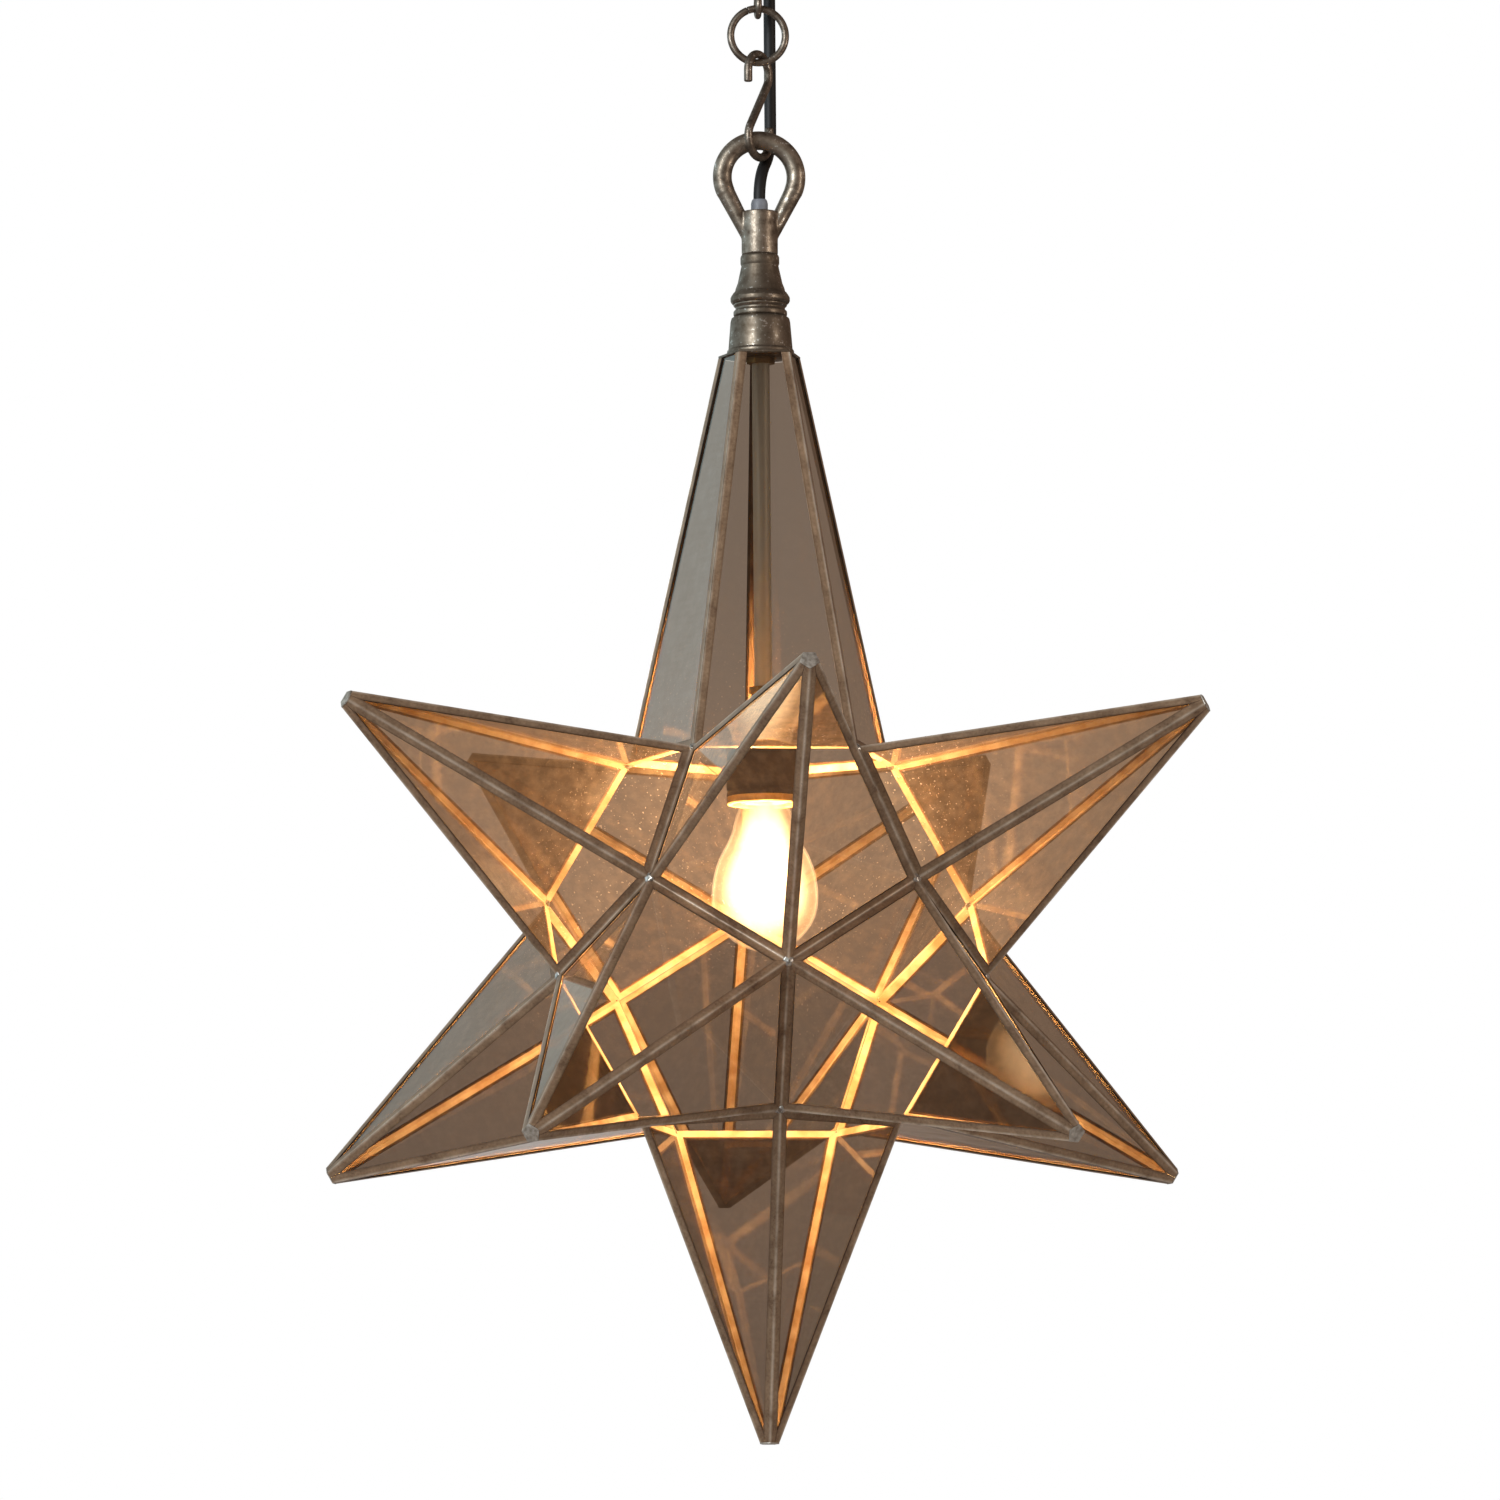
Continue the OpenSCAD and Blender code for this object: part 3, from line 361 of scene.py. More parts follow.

# %% [markdown]
# The other metals need only two tones in soft patches. The inside of the strips was never
# darkened, so it is still bright and throws the filament's light about; high in the long
# top point a darker copy of it is painted shade. The cut lips are nearly black, dark patina
# and painted shade for the line where a strip meets the glass.


# %% Two-tone metals
def plain_patina(name, dark, pale, rough, metal, patch=5.0):
    p = Paint(name)
    mottle = p.cloud(patch, 4.0)
    return p.finish(p.skin(
        base_color=p.blend(mottle.above(0.35, 0.35), dark, pale), metallic=metal,
        roughness=rough + mottle * 0.15, normal=p.bump(p.cloud(1.5, 2.0), 0.05, 0.6),
    ))


# The lips: dark patina and painted shade for the line where a strip meets the glass.
strip_lip_patina_shade = plain_patina("strip_lip_patina_shade", (0.012, 0.008, 0.006), (0.05, 0.034, 0.022), 0.5, 0.4)
strip_inner = plain_patina("strip_inner", (0.50, 0.31, 0.15), (0.90, 0.73, 0.48), 0.4, 0.45, 16.0)
# A darker copy of the inside for the top point: painted shade.
strip_shaded = plain_patina("strip_shaded", (0.16, 0.085, 0.04), (0.34, 0.21, 0.11), 0.45, 0.45, 12.0)
tip_metal = plain_patina("tip_metal", (0.26, 0.215, 0.175), (0.60, 0.54, 0.47), 0.3, 0.6, 3.0)
solder = plain_patina("solder", (0.30, 0.26, 0.22), (0.92, 0.89, 0.85), 0.2, 0.9, 2.5)
brass = plain_patina("brass", (0.48, 0.32, 0.12), (0.75, 0.54, 0.24), 0.3, 0.9)
stem_metal = plain_patina("stem_metal", (0.90, 0.93, 0.85), (0.95, 0.97, 0.90), 0.3, 0.25, 9.0)
steel = plain_patina("steel", (0.42, 0.42, 0.41), (0.62, 0.62, 0.60), 0.32, 0.95, 3.0)
print("two-tone metals ready")

# %% [markdown]
# ## Glass
# The panes are smoked and half silvered: they darken what is behind them and mirror what
# is in front. A thin sheet bends light so little that it needs no refraction, so each
# pane mixes a see-through tint with a mirror, which also lets lamplight pass. A film of
# dust in drawn streaks, blotches and specks catches the filament's light, more on the
# inner side, and fades with the square of the distance. It could be lit by the lamp, but
# so thin a film would need many more samples, so its glow is painted.


# %% Smoked pane
FULL_LIGHT_AT = 0.12
PANE_GLOW = 6.0
BLACK, AMBER = (0, 0, 0), (1.0, 0.52, 0.22)


def smoked_pane(name, tint, dirt_and_painted_light):
    p = Paint(name)
    streak = p.cloud(2.6, 3.0, stretch=(9, 9, 1), rough=0.6)
    smoke = p.cloud(60.0, 3.0)
    blotch = p.cloud(8.0, 5.0, rough=0.6).above(0.44, 0.22)
    light = FULL_LIGHT_AT ** 2 / p.far_from(FILAMENT) ** 2
    # The specks show only near the filament: dust specks with a painted glint.
    lit_specks = p.cloud(1.5, 1.0).above(0.69, 0.05) * (light * 1.8 - 0.9).held() * min(dirt_and_painted_light, 1.0)
    slant = p.value(p.add("LayerWeight", {}, {"Blend": 0.5}).outputs["Facing"])
    mirror = 0.05 + streak * 0.03 + blotch * 0.03 + slant ** 3 * 0.8 + lit_specks * 0.2
    tone = (smoke * 0.7 + streak * 0.3).above(0.35, 0.3)
    inside = p.value(p.add("NewGeometry").outputs["Backfacing"])
    grime = 0.05 + smoke * 0.22 + blotch * 0.2 + streak * 0.06
    film = 0.01 + (0.35 + inside * 0.65) * grime * dirt_and_painted_light
    # Painted glow of the dust film and the specks, falling with the square of the distance from the
    # filament.
    glow = (light * (film + lit_specks * 1.1) / (mirror * PANE_GLOW)).held()
    face = p.skin(
        base_color=p.blend(tone, (0.74, 0.70, 0.64), (0.86, 0.83, 0.78)), metallic=1.0,
        roughness=0.03 + streak * 0.03 + lit_specks * 0.4,
        normal=p.bump(p.cloud(35.0, 2.0), 0.12, 0.5),
        emission_color=p.blend(glow, BLACK, AMBER), emission_strength=PANE_GLOW,
    )
    return p.finish(p.see_through(mirror, tint, face))


pale_smoke = smoked_pane("pale_smoke", (0.435, 0.375, 0.325), 0.12)
smoke_glass = smoked_pane("smoke_glass", (0.46, 0.375, 0.305), 1.35)
deep_smoke = smoked_pane("deep_smoke", (0.37, 0.305, 0.255), 0.4)
print("smoked panes ready")

# %% [markdown]
# The bulb is clear glass, but its filament is so bright that a picture shows a white-hot
# heart with golden glass around it. A real camera gets that heart from stray light in its
# lens. Here both are a painted glow: the glass itself glows white-hot where it faces the
# viewer near the filament and faintly gold elsewhere, and its rim keeps a thin bright line,
# painted glow with a little real reflection.


# %% Clear bulb glass
HEART_REACH = 0.03
GOLD, WHITE_HOT = (0.42, 0.22, 0.09), (1.0, 0.84, 0.58)


def bulb_clear():
    p = Paint("clear_glass")
    rim = p.value(p.add("LayerWeight", {}, {"Blend": 0.5}).outputs["Facing"])
    near = (HEART_REACH ** 2 / p.far_from(FILAMENT) ** 2).held()
    heart = (1 - rim) ** 6 * near
    # Painted glow of the glass: white-hot near the filament, gold further off.
    face = p.skin(
        base_color=(0.02, 0.015, 0.01), roughness=0.05,
        emission_color=p.blend(near, GOLD, WHITE_HOT), emission_strength=8.0,
    )
    shows = 0.02 + heart * 0.9 + rim ** 6 * 0.15
    return p.finish(p.see_through(shows, (0.99, 0.97, 0.93), face))


clear_glass = bulb_clear()
print("bulb glass ready")

# %% [markdown]
# The socket is pressed from dark brown plastic, the gland is grey plastic, the flex has a
# black sheath and the insulators are ceramic. All of them leave a mould or a die with an
# even colour and a fine grain, so one recipe serves them all.


# %% Plastics, ceramic and the flex's sheath
def moulded(name, colour, rough, grain):
    p = Paint(name)
    fine = p.cloud(grain, 2.0)
    duller = tuple(c * 0.72 for c in colour)
    shade = p.blend(p.cloud(9.0, 3.0).above(0.35, 0.4), duller, colour)
    return p.finish(p.skin(
        base_color=shade, roughness=rough + fine * 0.12, normal=p.bump(fine, 0.03, 0.5)
    ))


flex_sheath = moulded("flex_sheath", (0.007, 0.006, 0.006), 0.5, 0.5)
grey_plastic = moulded("grey_plastic", (0.21, 0.215, 0.24), 0.38, 0.5)
black_plastic = moulded("black_plastic", (0.016, 0.004, 0.0015), 0.5, 1.2)
ceramic = moulded("ceramic", (0.78, 0.76, 0.70), 0.25, 0.8)
print("plain finishes ready")

# %% [markdown]
# ## The workbench
# Tools that many pieces share. `merged_copy` takes a solid from the frame and joins its
# loose triangles. `sharp` finds the edges that a real maker would break with a file, and
# `soften` breaks them. The same could be done by hand in edit mode, but ninety strips and
# sixty panes ask for a tool.


# %% Tools for shapes
def merged_copy(name):
    bm = bmesh.new()
    bm.from_mesh(nodes[name].data)
    bmesh.ops.remove_doubles(bm, verts=bm.verts, dist=0.000002)
    return bm


def join_into(bm, other, matrix=Matrix.Identity(4)):
    """Adds a copy of another bmesh, moved by the matrix."""
    mesh = bpy.data.meshes.new("copy")
    other.to_mesh(mesh)
    mesh.transform(matrix)
    if matrix.determinant() < 0:
        mesh.flip_normals()
    bm.from_mesh(mesh)
    bpy.data.meshes.remove(mesh)


def corners_of(made):
    return [part for part in made if isinstance(part, bmesh.types.BMVert)]


def faces_of(made):
    return [part for part in made if isinstance(part, bmesh.types.BMFace)]


def everything(bm):
    return bm.verts[:] + bm.edges[:] + bm.faces[:]


def sharp(bm, angle=30):
    limit = radians(angle)
    return [e for e in bm.edges if len(e.link_faces) == 2 and e.calc_face_angle(0) > limit]


def soften(bm, edges, width, segments=2):
    bmesh.ops.bevel(
        bm, geom=edges, offset=width, segments=segments, profile=0.5,
        affect="EDGES", material=-1, clamp_overlap=True,
    )


print("tools for shapes ready")

# %% [markdown]
# `settle` turns a finished shape into a piece: in metres, at the origin, shaded smooth up
# to an angle, and riding on its body. It also hides the solids that the piece stands for.


# %% From a shape to a piece
def settle(name, bm, body, materials, stands_for=(), smooth=32, frame_made=False):
    bmesh.ops.recalc_face_normals(bm, faces=bm.faces)
    if not frame_made:
        bmesh.ops.transform(bm, matrix=TO_FRAME, verts=bm.verts)
    name = name + "_made" if name in nodes else name
    mesh = bpy.data.meshes.new(name)
    bm.to_mesh(mesh)
    bm.free()
    for material in materials:
        mesh.materials.append(material)
    mesh.shade_smooth()
    mesh.set_sharp_from_angle(angle=radians(smooth))
    piece = put_in_scene(name, mesh)
    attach(piece, body)
    if stands_for:
        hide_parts(*stands_for)
    print(f"{name}: {len(mesh.polygons)} faces")


print("workbench ready")

# %% [markdown]
# ## The flex
# The black flex leaves the gland on the loop's neck, bends back behind the hook and
# climbs straight to its grip in the canopy. It crosses three joints, so it is made in
# three lengths that meet face to face. Two equal bends set the flex aside and leave it
# upright; their angle follows from how far aside the grip is.


# %% Route of the flex
BEND_STEPS, CLIMB_STEPS = 8, 15


def two_bends(start, across, radius, angle):
    """One bend sideways, then the same bend turned half round, which ends upright."""
    points = []
    for i in range(BEND_STEPS + 1):
        t = angle * i / BEND_STEPS
        points.append(start + across * radius * (1 - cos(t)) + Vector((0, 0, radius * sin(t))))
    half = points[-1]
    return points + [half * 2 - spot for spot in reversed(points[:-1])]


def climb(low, high):
    heights = [low + (high - low) * i / CLIMB_STEPS for i in range(CLIMB_STEPS + 1)]
    return [grip + Vector((0, 0, z)) for z in heights]


flex_radius = 3.4
grip = Vector((8.4, 18.1, 0))
gland_top = Vector((0, 0, 422.4))
bend_foot = gland_top + Vector((0, 0, 0.6))
bend_radius = 27.5
bend_angle = acos(1 - grip.length / 2 / bend_radius)
low_run = [gland_top] + two_bends(bend_foot, grip.normalized(), bend_radius, bend_angle)
joint_1 = low_run[-1].z
grip_foot = 547.6
joint_2 = (joint_1 + grip_foot) / 2
print("flex joints at", round(joint_1, 2), round(joint_2, 2))

# %% [markdown]
# A round cable is a curve with a thickness. The curve is turned into a mesh at once,
# because only a mesh can bend with a joint and be exported.


# %% Three lengths of flex
def tube(name, route, radius, roundness, capped):
    """Mesh of a round tube along a route in metres."""
    curve = bpy.data.curves.new(name, "CURVE")
    curve.dimensions = "3D"
    curve.bevel_depth = radius
    curve.bevel_resolution = roundness
    curve.use_fill_caps = capped
    spline = curve.splines.new("POLY")
    spline.points.add(len(route) - 1)
    for point, spot in zip(spline.points, route):
        point.co = (*spot, 1)
    loose = bpy.data.objects.new(name, curve)
    mesh = bpy.data.meshes.new_from_object(loose)
    bpy.data.objects.remove(loose)
    mesh.materials.clear()
    return mesh


def flex_length(name, run):
    route = [tuple(TO_FRAME @ spot) for spot in run]
    mesh = tube(name, route, flex_radius / 1000, 6, capped=True)
    mesh.materials.append(flex_sheath)
    mesh.shade_smooth()
    mesh.set_sharp_from_angle(angle=radians(40))
    piece = put_in_scene(name + "_sheath", mesh)
    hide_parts(name)
    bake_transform(piece)
    length = sum((Vector(b) - Vector(a)).length for a, b in zip(route, route[1:]))
    print(f"{name}: {length * 1000:.1f} mm long")


flex_length("flex_lower", low_run)
flex_length("flex_middle", climb(joint_1, joint_2))
flex_length("flex_upper", climb(joint_2, grip_foot))

# %% [markdown]
# ## Shape of the star
# The core has twelve five-sided faces. On each stands a point of five flat triangles,
# cut off at its tip. Three matrices say it all: where a point is, where one of its base
# edges is, and how steep its faces are. The top point is wider and cut off far lower.
# The shapes could be measured off the solids, but worked out from one edge length they
# hold for all sixty ridges and thirty valleys.

# %% Core and points
EDGE = 92
FACE_R = EDGE / (2 * sin(radians(36)))
FACE_IN = EDGE / (2 * tan(radians(36)))
CORE_IN = FACE_IN * (1 + sqrt(5)) / 2
CORE_MID = hypot(FACE_IN, CORE_IN)
EDGE_LEAN = atan(FACE_IN / CORE_IN)
SIDE_TILT = 2 * EDGE_LEAN


class Point:
    def __init__(self, tilt, azimuth, turned=0.0, reach=282.0, cut=5.8):
        self.reach, self.cut = reach, cut
        self.rise = (reach - CORE_IN) / (1 - cut / FACE_R)
        self.slant = hypot(FACE_IN, self.rise)
        self.corner = atan(self.slant / (EDGE / 2))
        self.lean = pi / 2 - atan(self.rise / FACE_IN) + EDGE_LEAN
        self.place = (
            Matrix.Rotation(azimuth, 4, "Z")
            @ Matrix.Rotation(tilt, 4, "Y")
            @ Matrix.Rotation(turned, 4, "Z")
        )

    def edge(self, k):
        return (
            self.place
            @ Matrix.Rotation(radians(36 + 72 * k), 4, "Z")
            @ Matrix.Rotation(EDGE_LEAN, 4, "Y")
            @ Matrix.Translation((0, 0, CORE_MID))
            @ Matrix.Rotation(pi / 2, 4, "Z")
        )


TOP = Point(0, pi / 2, reach=332.0, cut=24.6)
BOTTOM = Point(pi, pi / 2)
UPPER = [Point(SIDE_TILT, radians(72 * k - 90)) for k in range(5)]
LOWER = [Point(pi - SIDE_TILT, radians(72 * k - 54), radians(36)) for k in range(5)]
DOOR = LOWER[2]
print("faces lean", round(degrees(DOOR.lean), 2), "corner", round(degrees(DOOR.corner), 2))

# %% [markdown]
# ## Metal strips
# A strip is a length of thin metal folded to an angle, and its ends are mitred where
# three meet. Half of its section is drawn as three short lines, drawn out to its length,
# cut by the mitre planes and mirrored, just as a maker folds, saws and files it. The
# outside, the cut lips and the bare inside get their own metals.

# %% Half a strip from its section
FLANGE, SHEET, SEAM, LIP_ROUND = 4.8, 0.9, 0.1, 0.15
OUTSIDE, LIP, INSIDE = 0, 1, 2


def draw_out(bm, section, start, run, closed=False):
    """Draws the lines of a section out along the run; faces outside, lip, inside."""
    corners = [bm.verts.new(start + v) for v in section]
    lines = [bm.edges.new(pair) for pair in zip(corners, corners[1:])]
    if closed:
        lines.append(bm.edges.new((corners[-1], corners[0])))
    for line, side in zip(lines, (OUTSIDE, LIP, INSIDE, LIP)):
        made = bmesh.ops.extrude_edge_only(bm, edges=[line])["geom"]
        bmesh.ops.translate(bm, vec=run, verts=corners_of(made))
        for face in faces_of(made):
            face.material_index = side
    bmesh.ops.remove_doubles(bm, verts=bm.verts, dist=0.001)


def saw(bm, at, away):
    """Cuts off all that lies beyond the plane, on the side that `away` points to."""
    bmesh.ops.bisect_plane(
        bm, geom=everything(bm), dist=0.0001, plane_co=at, plane_no=away, clear_outer=True
    )


print("strip section:", FLANGE, "wide,", SHEET, "thick")

# %% [markdown]
# Sawing leaves open ends, which are filled. The fold and the lips are then found by their
# distance from the fold line, and rounded a little so that they catch the light. Each
# point keeps how far it is from the fold, for the wear in the metal's finish.


# %% Closing and rounding a strip
def close_and_round(bm, fold, run, fold_width=0.35):
    """Closes the sawn ends, rounds the fold and the lips, and notes the way from the fold."""
    bmesh.ops.remove_doubles(bm, verts=bm.verts, dist=0.001)
    bmesh.ops.holes_fill(bm, edges=[e for e in bm.edges if e.is_boundary], sides=0)
    along = run.normalized()

    def from_fold(spot):
        off = spot - fold
        return (off - along * off.dot(along)).length

    folds, lips = [], []
    for e in bm.edges:
        line = e.verts[1].co - e.verts[0].co
        if line.length < 4 or abs(line.normalized().dot(along)) < 0.999:
            continue
        away = from_fold((e.verts[0].co + e.verts[1].co) / 2)
        if away < 0.05:
            folds.append(e)
        elif abs(away - FLANGE) < 0.1:
            lips.append(e)
    if folds:
        soften(bm, folds, fold_width, 3)
    soften(bm, [e for e in lips if e.is_valid], LIP_ROUND)
    layer = bm.verts.layers.float.new("from_ridge")
    for v in bm.verts:
        v[layer] = min(1.0, from_fold(v.co) / FLANGE)


print("strip tools ready")

# %% [markdown]
# A ridge strip runs from a corner of the core to the tip of a point. Its half is cut
# three times: along the mitre at its foot, in the middle between two ridges and level
# with the cut tip. Then it is mirrored over its fold.


# %% Ridge strips
def ridge_strip(point):
    half_fifth = radians(36)
    foot = Vector((FACE_R, 0, CORE_IN))
    along = Vector((-FACE_R, 0, point.rise)).normalized()
    fifth = 2 * half_fifth
    next_corner = Vector((FACE_R * cos(fifth), FACE_R * sin(fifth), CORE_IN))
    base = (next_corner - foot).normalized()
    across = (base - along * base.dot(along)).normalized()
    inward = Vector((-point.rise * cos(half_fifth), -point.rise * sin(half_fifth), -FACE_IN))
    inward.normalize()
    depth = SHEET / (hypot(inward.x, inward.y) * cos(half_fifth))
    lip = foot + across * FLANGE
    section = [foot, lip, lip + inward * SHEET, foot - Vector((depth, 0, 0))]
    spare_foot, spare_length = 12, 40
    bm = bmesh.new()
    draw_out(bm, section, -along * spare_foot, along * (point.slant + spare_length))
    across_base = (along - base * along.dot(base)).normalized()
    half = point.corner / 2
    saw(bm, foot + along * SEAM, base * sin(half) - across_base * cos(half))
    mid_face = Vector((-sin(half_fifth), cos(half_fifth), 0))
    saw(bm, -mid_face * SEAM, mid_face)
    saw(bm, Vector((0, 0, point.reach)), Vector((0, 0, 1)))
    bmesh.ops.mirror(
        bm, geom=everything(bm), matrix=Matrix.Identity(4), merge_dist=0.001, axis="Y"
    )
    close_and_round(bm, foot, along)
    return bm


side_ridge, top_ridge = ridge_strip(UPPER[0]), ridge_strip(TOP)
print("faces a ridge strip:", len(side_ridge.faces))

# %% [markdown]
# A valley strip covers an edge of the core, where the bases of two points meet. Its two
# halves lean apart by the slopes of those points, so each is made by itself and the far
# one is turned over. Round the door the two halves are cut free of each other.


# %% Valley strips
def valley_half(lean, corner, other_lean, gap=0.0):
    """Half of a valley strip on the side y > 0; a gap closes it beside the door's slit."""
    bm = bmesh.new()
    out = Vector((0, sin(lean), cos(lean)))
    under = Vector((0, cos(lean), -sin(lean)))
    lip = out * FLANGE
    if gap:
        fold = Vector((0, gap, gap / tan(lean)))
        inner = Vector((0, gap, (gap * cos(lean) - SHEET) / sin(lean)))
    else:
        fold = Vector((0, 0, 0))
        inner = Vector((
            0,
            SHEET * (sin(other_lean) - sin(lean)) / sin(lean + other_lean),
            -SHEET * (cos(lean) + cos(other_lean)) / sin(lean + other_lean),
        ))
    section = [fold, lip, lip + under * SHEET, inner]
    length = EDGE / 2 + 10
    draw_out(bm, section, Vector((-length, 0, 0)), Vector((2 * length, 0, 0)), closed=bool(gap))
    for end in (-1, 1):
        away = Vector((end * sin(corner / 2), 0, 0)) + out * cos(corner / 2)
        saw(bm, Vector((end * (EDGE / 2 - SEAM), 0, 0)), away)
    return bm


def valley_strip(point, other):
    bm = valley_half(point.lean, point.corner, other.lean)
    far = valley_half(other.lean, other.corner, point.lean)
    join_into(bm, far, Matrix.Scale(-1, 4, (0, 1, 0)))
    far.free()
    close_and_round(bm, Vector((0, 0, 0)), Vector((1, 0, 0)), 0.5)
    return bm


def door_half(point):
    bm = valley_half(point.lean, point.corner, point.lean, gap=0.2)
    close_and_round(bm, Vector((0, 0, 0)), Vector((1, 0, 0)))
    return bm


side_valley, top_valley = valley_strip(UPPER[0], LOWER[0]), valley_strip(TOP, UPPER[0])
door_edge = door_half(DOOR)
print("faces a valley strip:", len(side_valley.faces), "door edge:", len(door_edge.faces))

# %% [markdown]
# Each kind of strip is now set where it belongs, five times a point. Round the door the
# valley strips give way to halves, a seat on the star and an edge on the door, so that
# it can open. The long top point gets strips whose darker inside is painted shade.

# %% Strips set on the star and on the door
FIFTHS = [Matrix.Rotation(radians(72 * k), 4, "Z") for k in range(5)]
FIXED_LOWER = [point for point in LOWER if point is not DOOR]
ACROSS = Matrix.Scale(-1, 4, (0, 1, 0))


def strip_set(name, parts, body="star", inner=strip_inner):
    bm = bmesh.new()
    bm.verts.layers.float.new("from_ridge")
    for kind, matrix in parts:
        join_into(bm, kind, matrix)
    metals = [strip_outer, strip_lip_patina_shade, inner]
    settle(name, bm, body, metals, [name], smooth=8)


def ridges(kind, points):
    return [(kind, point.place @ turn) for point in points for turn in FIFTHS]


# The top point's inside takes the darker copy, as painted shade.
strip_set("top_ridge_strips", ridges(top_ridge, [TOP]), inner=strip_shaded)
strip_set("upper_ridge_strips", ridges(side_ridge, UPPER))
strip_set("lower_ridge_strips", ridges(side_ridge, FIXED_LOWER))
strip_set("bottom_ridge_strips", ridges(side_ridge, [BOTTOM]))
strip_set("door_ridge_strips", ridges(side_ridge, [DOOR]), "door")

valleys = []
for k in range(5):
    valleys.append((top_valley, TOP.edge(k)))
    valleys.append((side_valley, UPPER[k].edge(1)))
    if k != 2:
        valleys.append((side_valley, UPPER[k].edge(0)))
    if k != 3:
        valleys.append((side_valley, UPPER[k].edge(4)))
    if k not in (1, 2):
        valleys.append((side_valley, LOWER[k].edge(0)))
    if k != 2:
        valleys.append((side_valley, LOWER[k].edge(4)))
strip_set("valley_strips", valleys)
strip_set("door_seat_strips", [(door_edge, DOOR.edge(k) @ ACROSS) for k in range(5)])
strip_set("door_base_strips", [(door_edge, DOOR.edge(k)) for k in range(5)], "door")

# %% [markdown]
# ## Tip plates and solder
# A five-sided plate closes each cut tip; its edge is filed round. It starts as a circle
# of five segments that is given its thickness and turned until a corner meets a ridge.


# %% Tip plates
PLATE = 0.8


def plate_at(point):
    bm = bmesh.new()
    bmesh.ops.create_circle(bm, cap_ends=True, segments=5, radius=point.cut)
    made = bmesh.ops.extrude_face_region(bm, geom=bm.faces[:])["geom"]
    bmesh.ops.translate(bm, vec=(0, 0, PLATE), verts=corners_of(made))
    corner = max(bm.verts, key=lambda v: v.co.x)
    onto_ridge = Matrix.Rotation(-atan2(corner.co.y, corner.co.x), 3, "Z")
    bmesh.ops.rotate(bm, cent=(0, 0, 0), matrix=onto_ridge, verts=bm.verts)
    soften(bm, sharp(bm), 0.25)
    place = point.place @ Matrix.Translation((0, 0, point.reach))
    bmesh.ops.transform(bm, matrix=place, verts=bm.verts)
    return bm


def plates(name, points, body):
    bm = bmesh.new()
    for point in points:
        plate = plate_at(point)
        join_into(bm, plate)
        plate.free()
    settle(name, bm, body, [tip_metal], [name])


plates("tip_plates", [BOTTOM] + UPPER + FIXED_LOWER, "star")
plates("door_tip_plate", [DOOR], "door")

# %% [markdown]
# Where three points meet, the strips are joined by a bead of solder. Each bead is a ball
# that is pressed flat and pushed about by a fixed noise, because no two drops set alike.
# Beside the door the beads are small and stand aside, so that it opens freely.


# %% Solder beads at the core's corners
def core_corners():
    corners = []
    for point in [TOP, BOTTOM] + UPPER + LOWER:
        for turn in FIFTHS:
            spot = point.place @ turn @ Vector((FACE_R, 0, CORE_IN))
            if all((spot - other).length > 1 for other in corners):
                corners.append(spot)
    return corners


def solder_beads():
    bm = bmesh.new()
    door_axis = (DOOR.place @ Vector((0, 0, 1))).normalized()
    for number, spot in enumerate(core_corners()):
        out = spot.normalized()
        size, middle = 2.9, spot - out * 0.5
        if spot.dot(door_axis) > CORE_IN - 1:
            size = 1.5
            aside = (spot - door_axis * spot.dot(door_axis)).normalized()
            middle = middle + aside * 1.5 - door_axis * 1.2
        made = bmesh.ops.create_icosphere(bm, subdivisions=3, radius=size)["verts"]
        for v in made:
            v.co *= 1 + 0.35 * noise.noise(v.co * 0.45 + Vector((number * 7.3, 0, 0)))
        squash = out.to_track_quat("Z", "Y").to_matrix().to_4x4() @ Matrix.Diagonal((1, 1, 0.6, 1))
        bmesh.ops.transform(bm, matrix=Matrix.Translation(middle) @ squash, verts=made)
    settle("solder_beads", bm, "star", [solder], smooth=60)


solder_beads()

# %% [markdown]
# ## Panes
# A real pane is 2 mm sheet glass, scored and snapped to a straight-sided shape. Its edges
# are hidden in the folds of the strips, so only its outer face is kept here, cut from the
# solid pane itself. One face for each pane matters: a line of sight crosses up to six
# panes, and each face that it crosses costs a see-through step. The first letters of a
# pane's name choose its tint: paler smoke in the top point, deeper in the lower ones.

# %% Panes
SMOKE = {"top": pale_smoke, "low": deep_smoke, "doo": deep_smoke, "bot": deep_smoke}
SMALLEST_PANE = 0.002


def outer_faces(bm):
    """Large faces that look away from the axis of the point that they close."""
    area = sum(f.calc_area() for f in bm.faces)
    middle = sum((f.calc_center_median() * f.calc_area() for f in bm.faces), Vector()) / area
    axis = (middle - star_centre).normalized()
    kept = []
    for face in bm.faces:
        out = face.calc_center_median() - star_centre
        out -= axis * out.dot(axis)
        if face.calc_area() >= SMALLEST_PANE and face.normal.dot(out) >= 0:
            kept.append(face)
    return kept


def pane_sheets(name):
    bm = merged_copy(name)
    bmesh.ops.dissolve_limit(bm, angle_limit=radians(1), verts=bm.verts, edges=bm.edges)
    kept = outer_faces(bm)
    bmesh.ops.delete(bm, geom=[f for f in bm.faces if f not in kept], context="FACES")
    print(name, "keeps", len(bm.faces), "outer faces")
    mesh = bpy.data.meshes.new(name + "_made")
    bm.to_mesh(mesh)
    bm.free()
    mesh.materials.append(SMOKE.get(name[:3], smoke_glass))
    sheet = put_in_scene(name + "_made", mesh)
    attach(sheet, "door" if name == "door_glass" else "star")
    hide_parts(name)


for name in list(nodes):
    if "_glass" in name and name != "bulb_glass":
        pane_sheets(name)

# %% [markdown]
# ## Turned pieces
# The sleeve, bead ring, coupler, gland, socket and bulb are all round about one axis:
# turned, pressed or blown. Spinning half an outline makes them all. Each pair of numbers
# is a distance from the axis and a height. Sharp rings are broken with a small bevel.


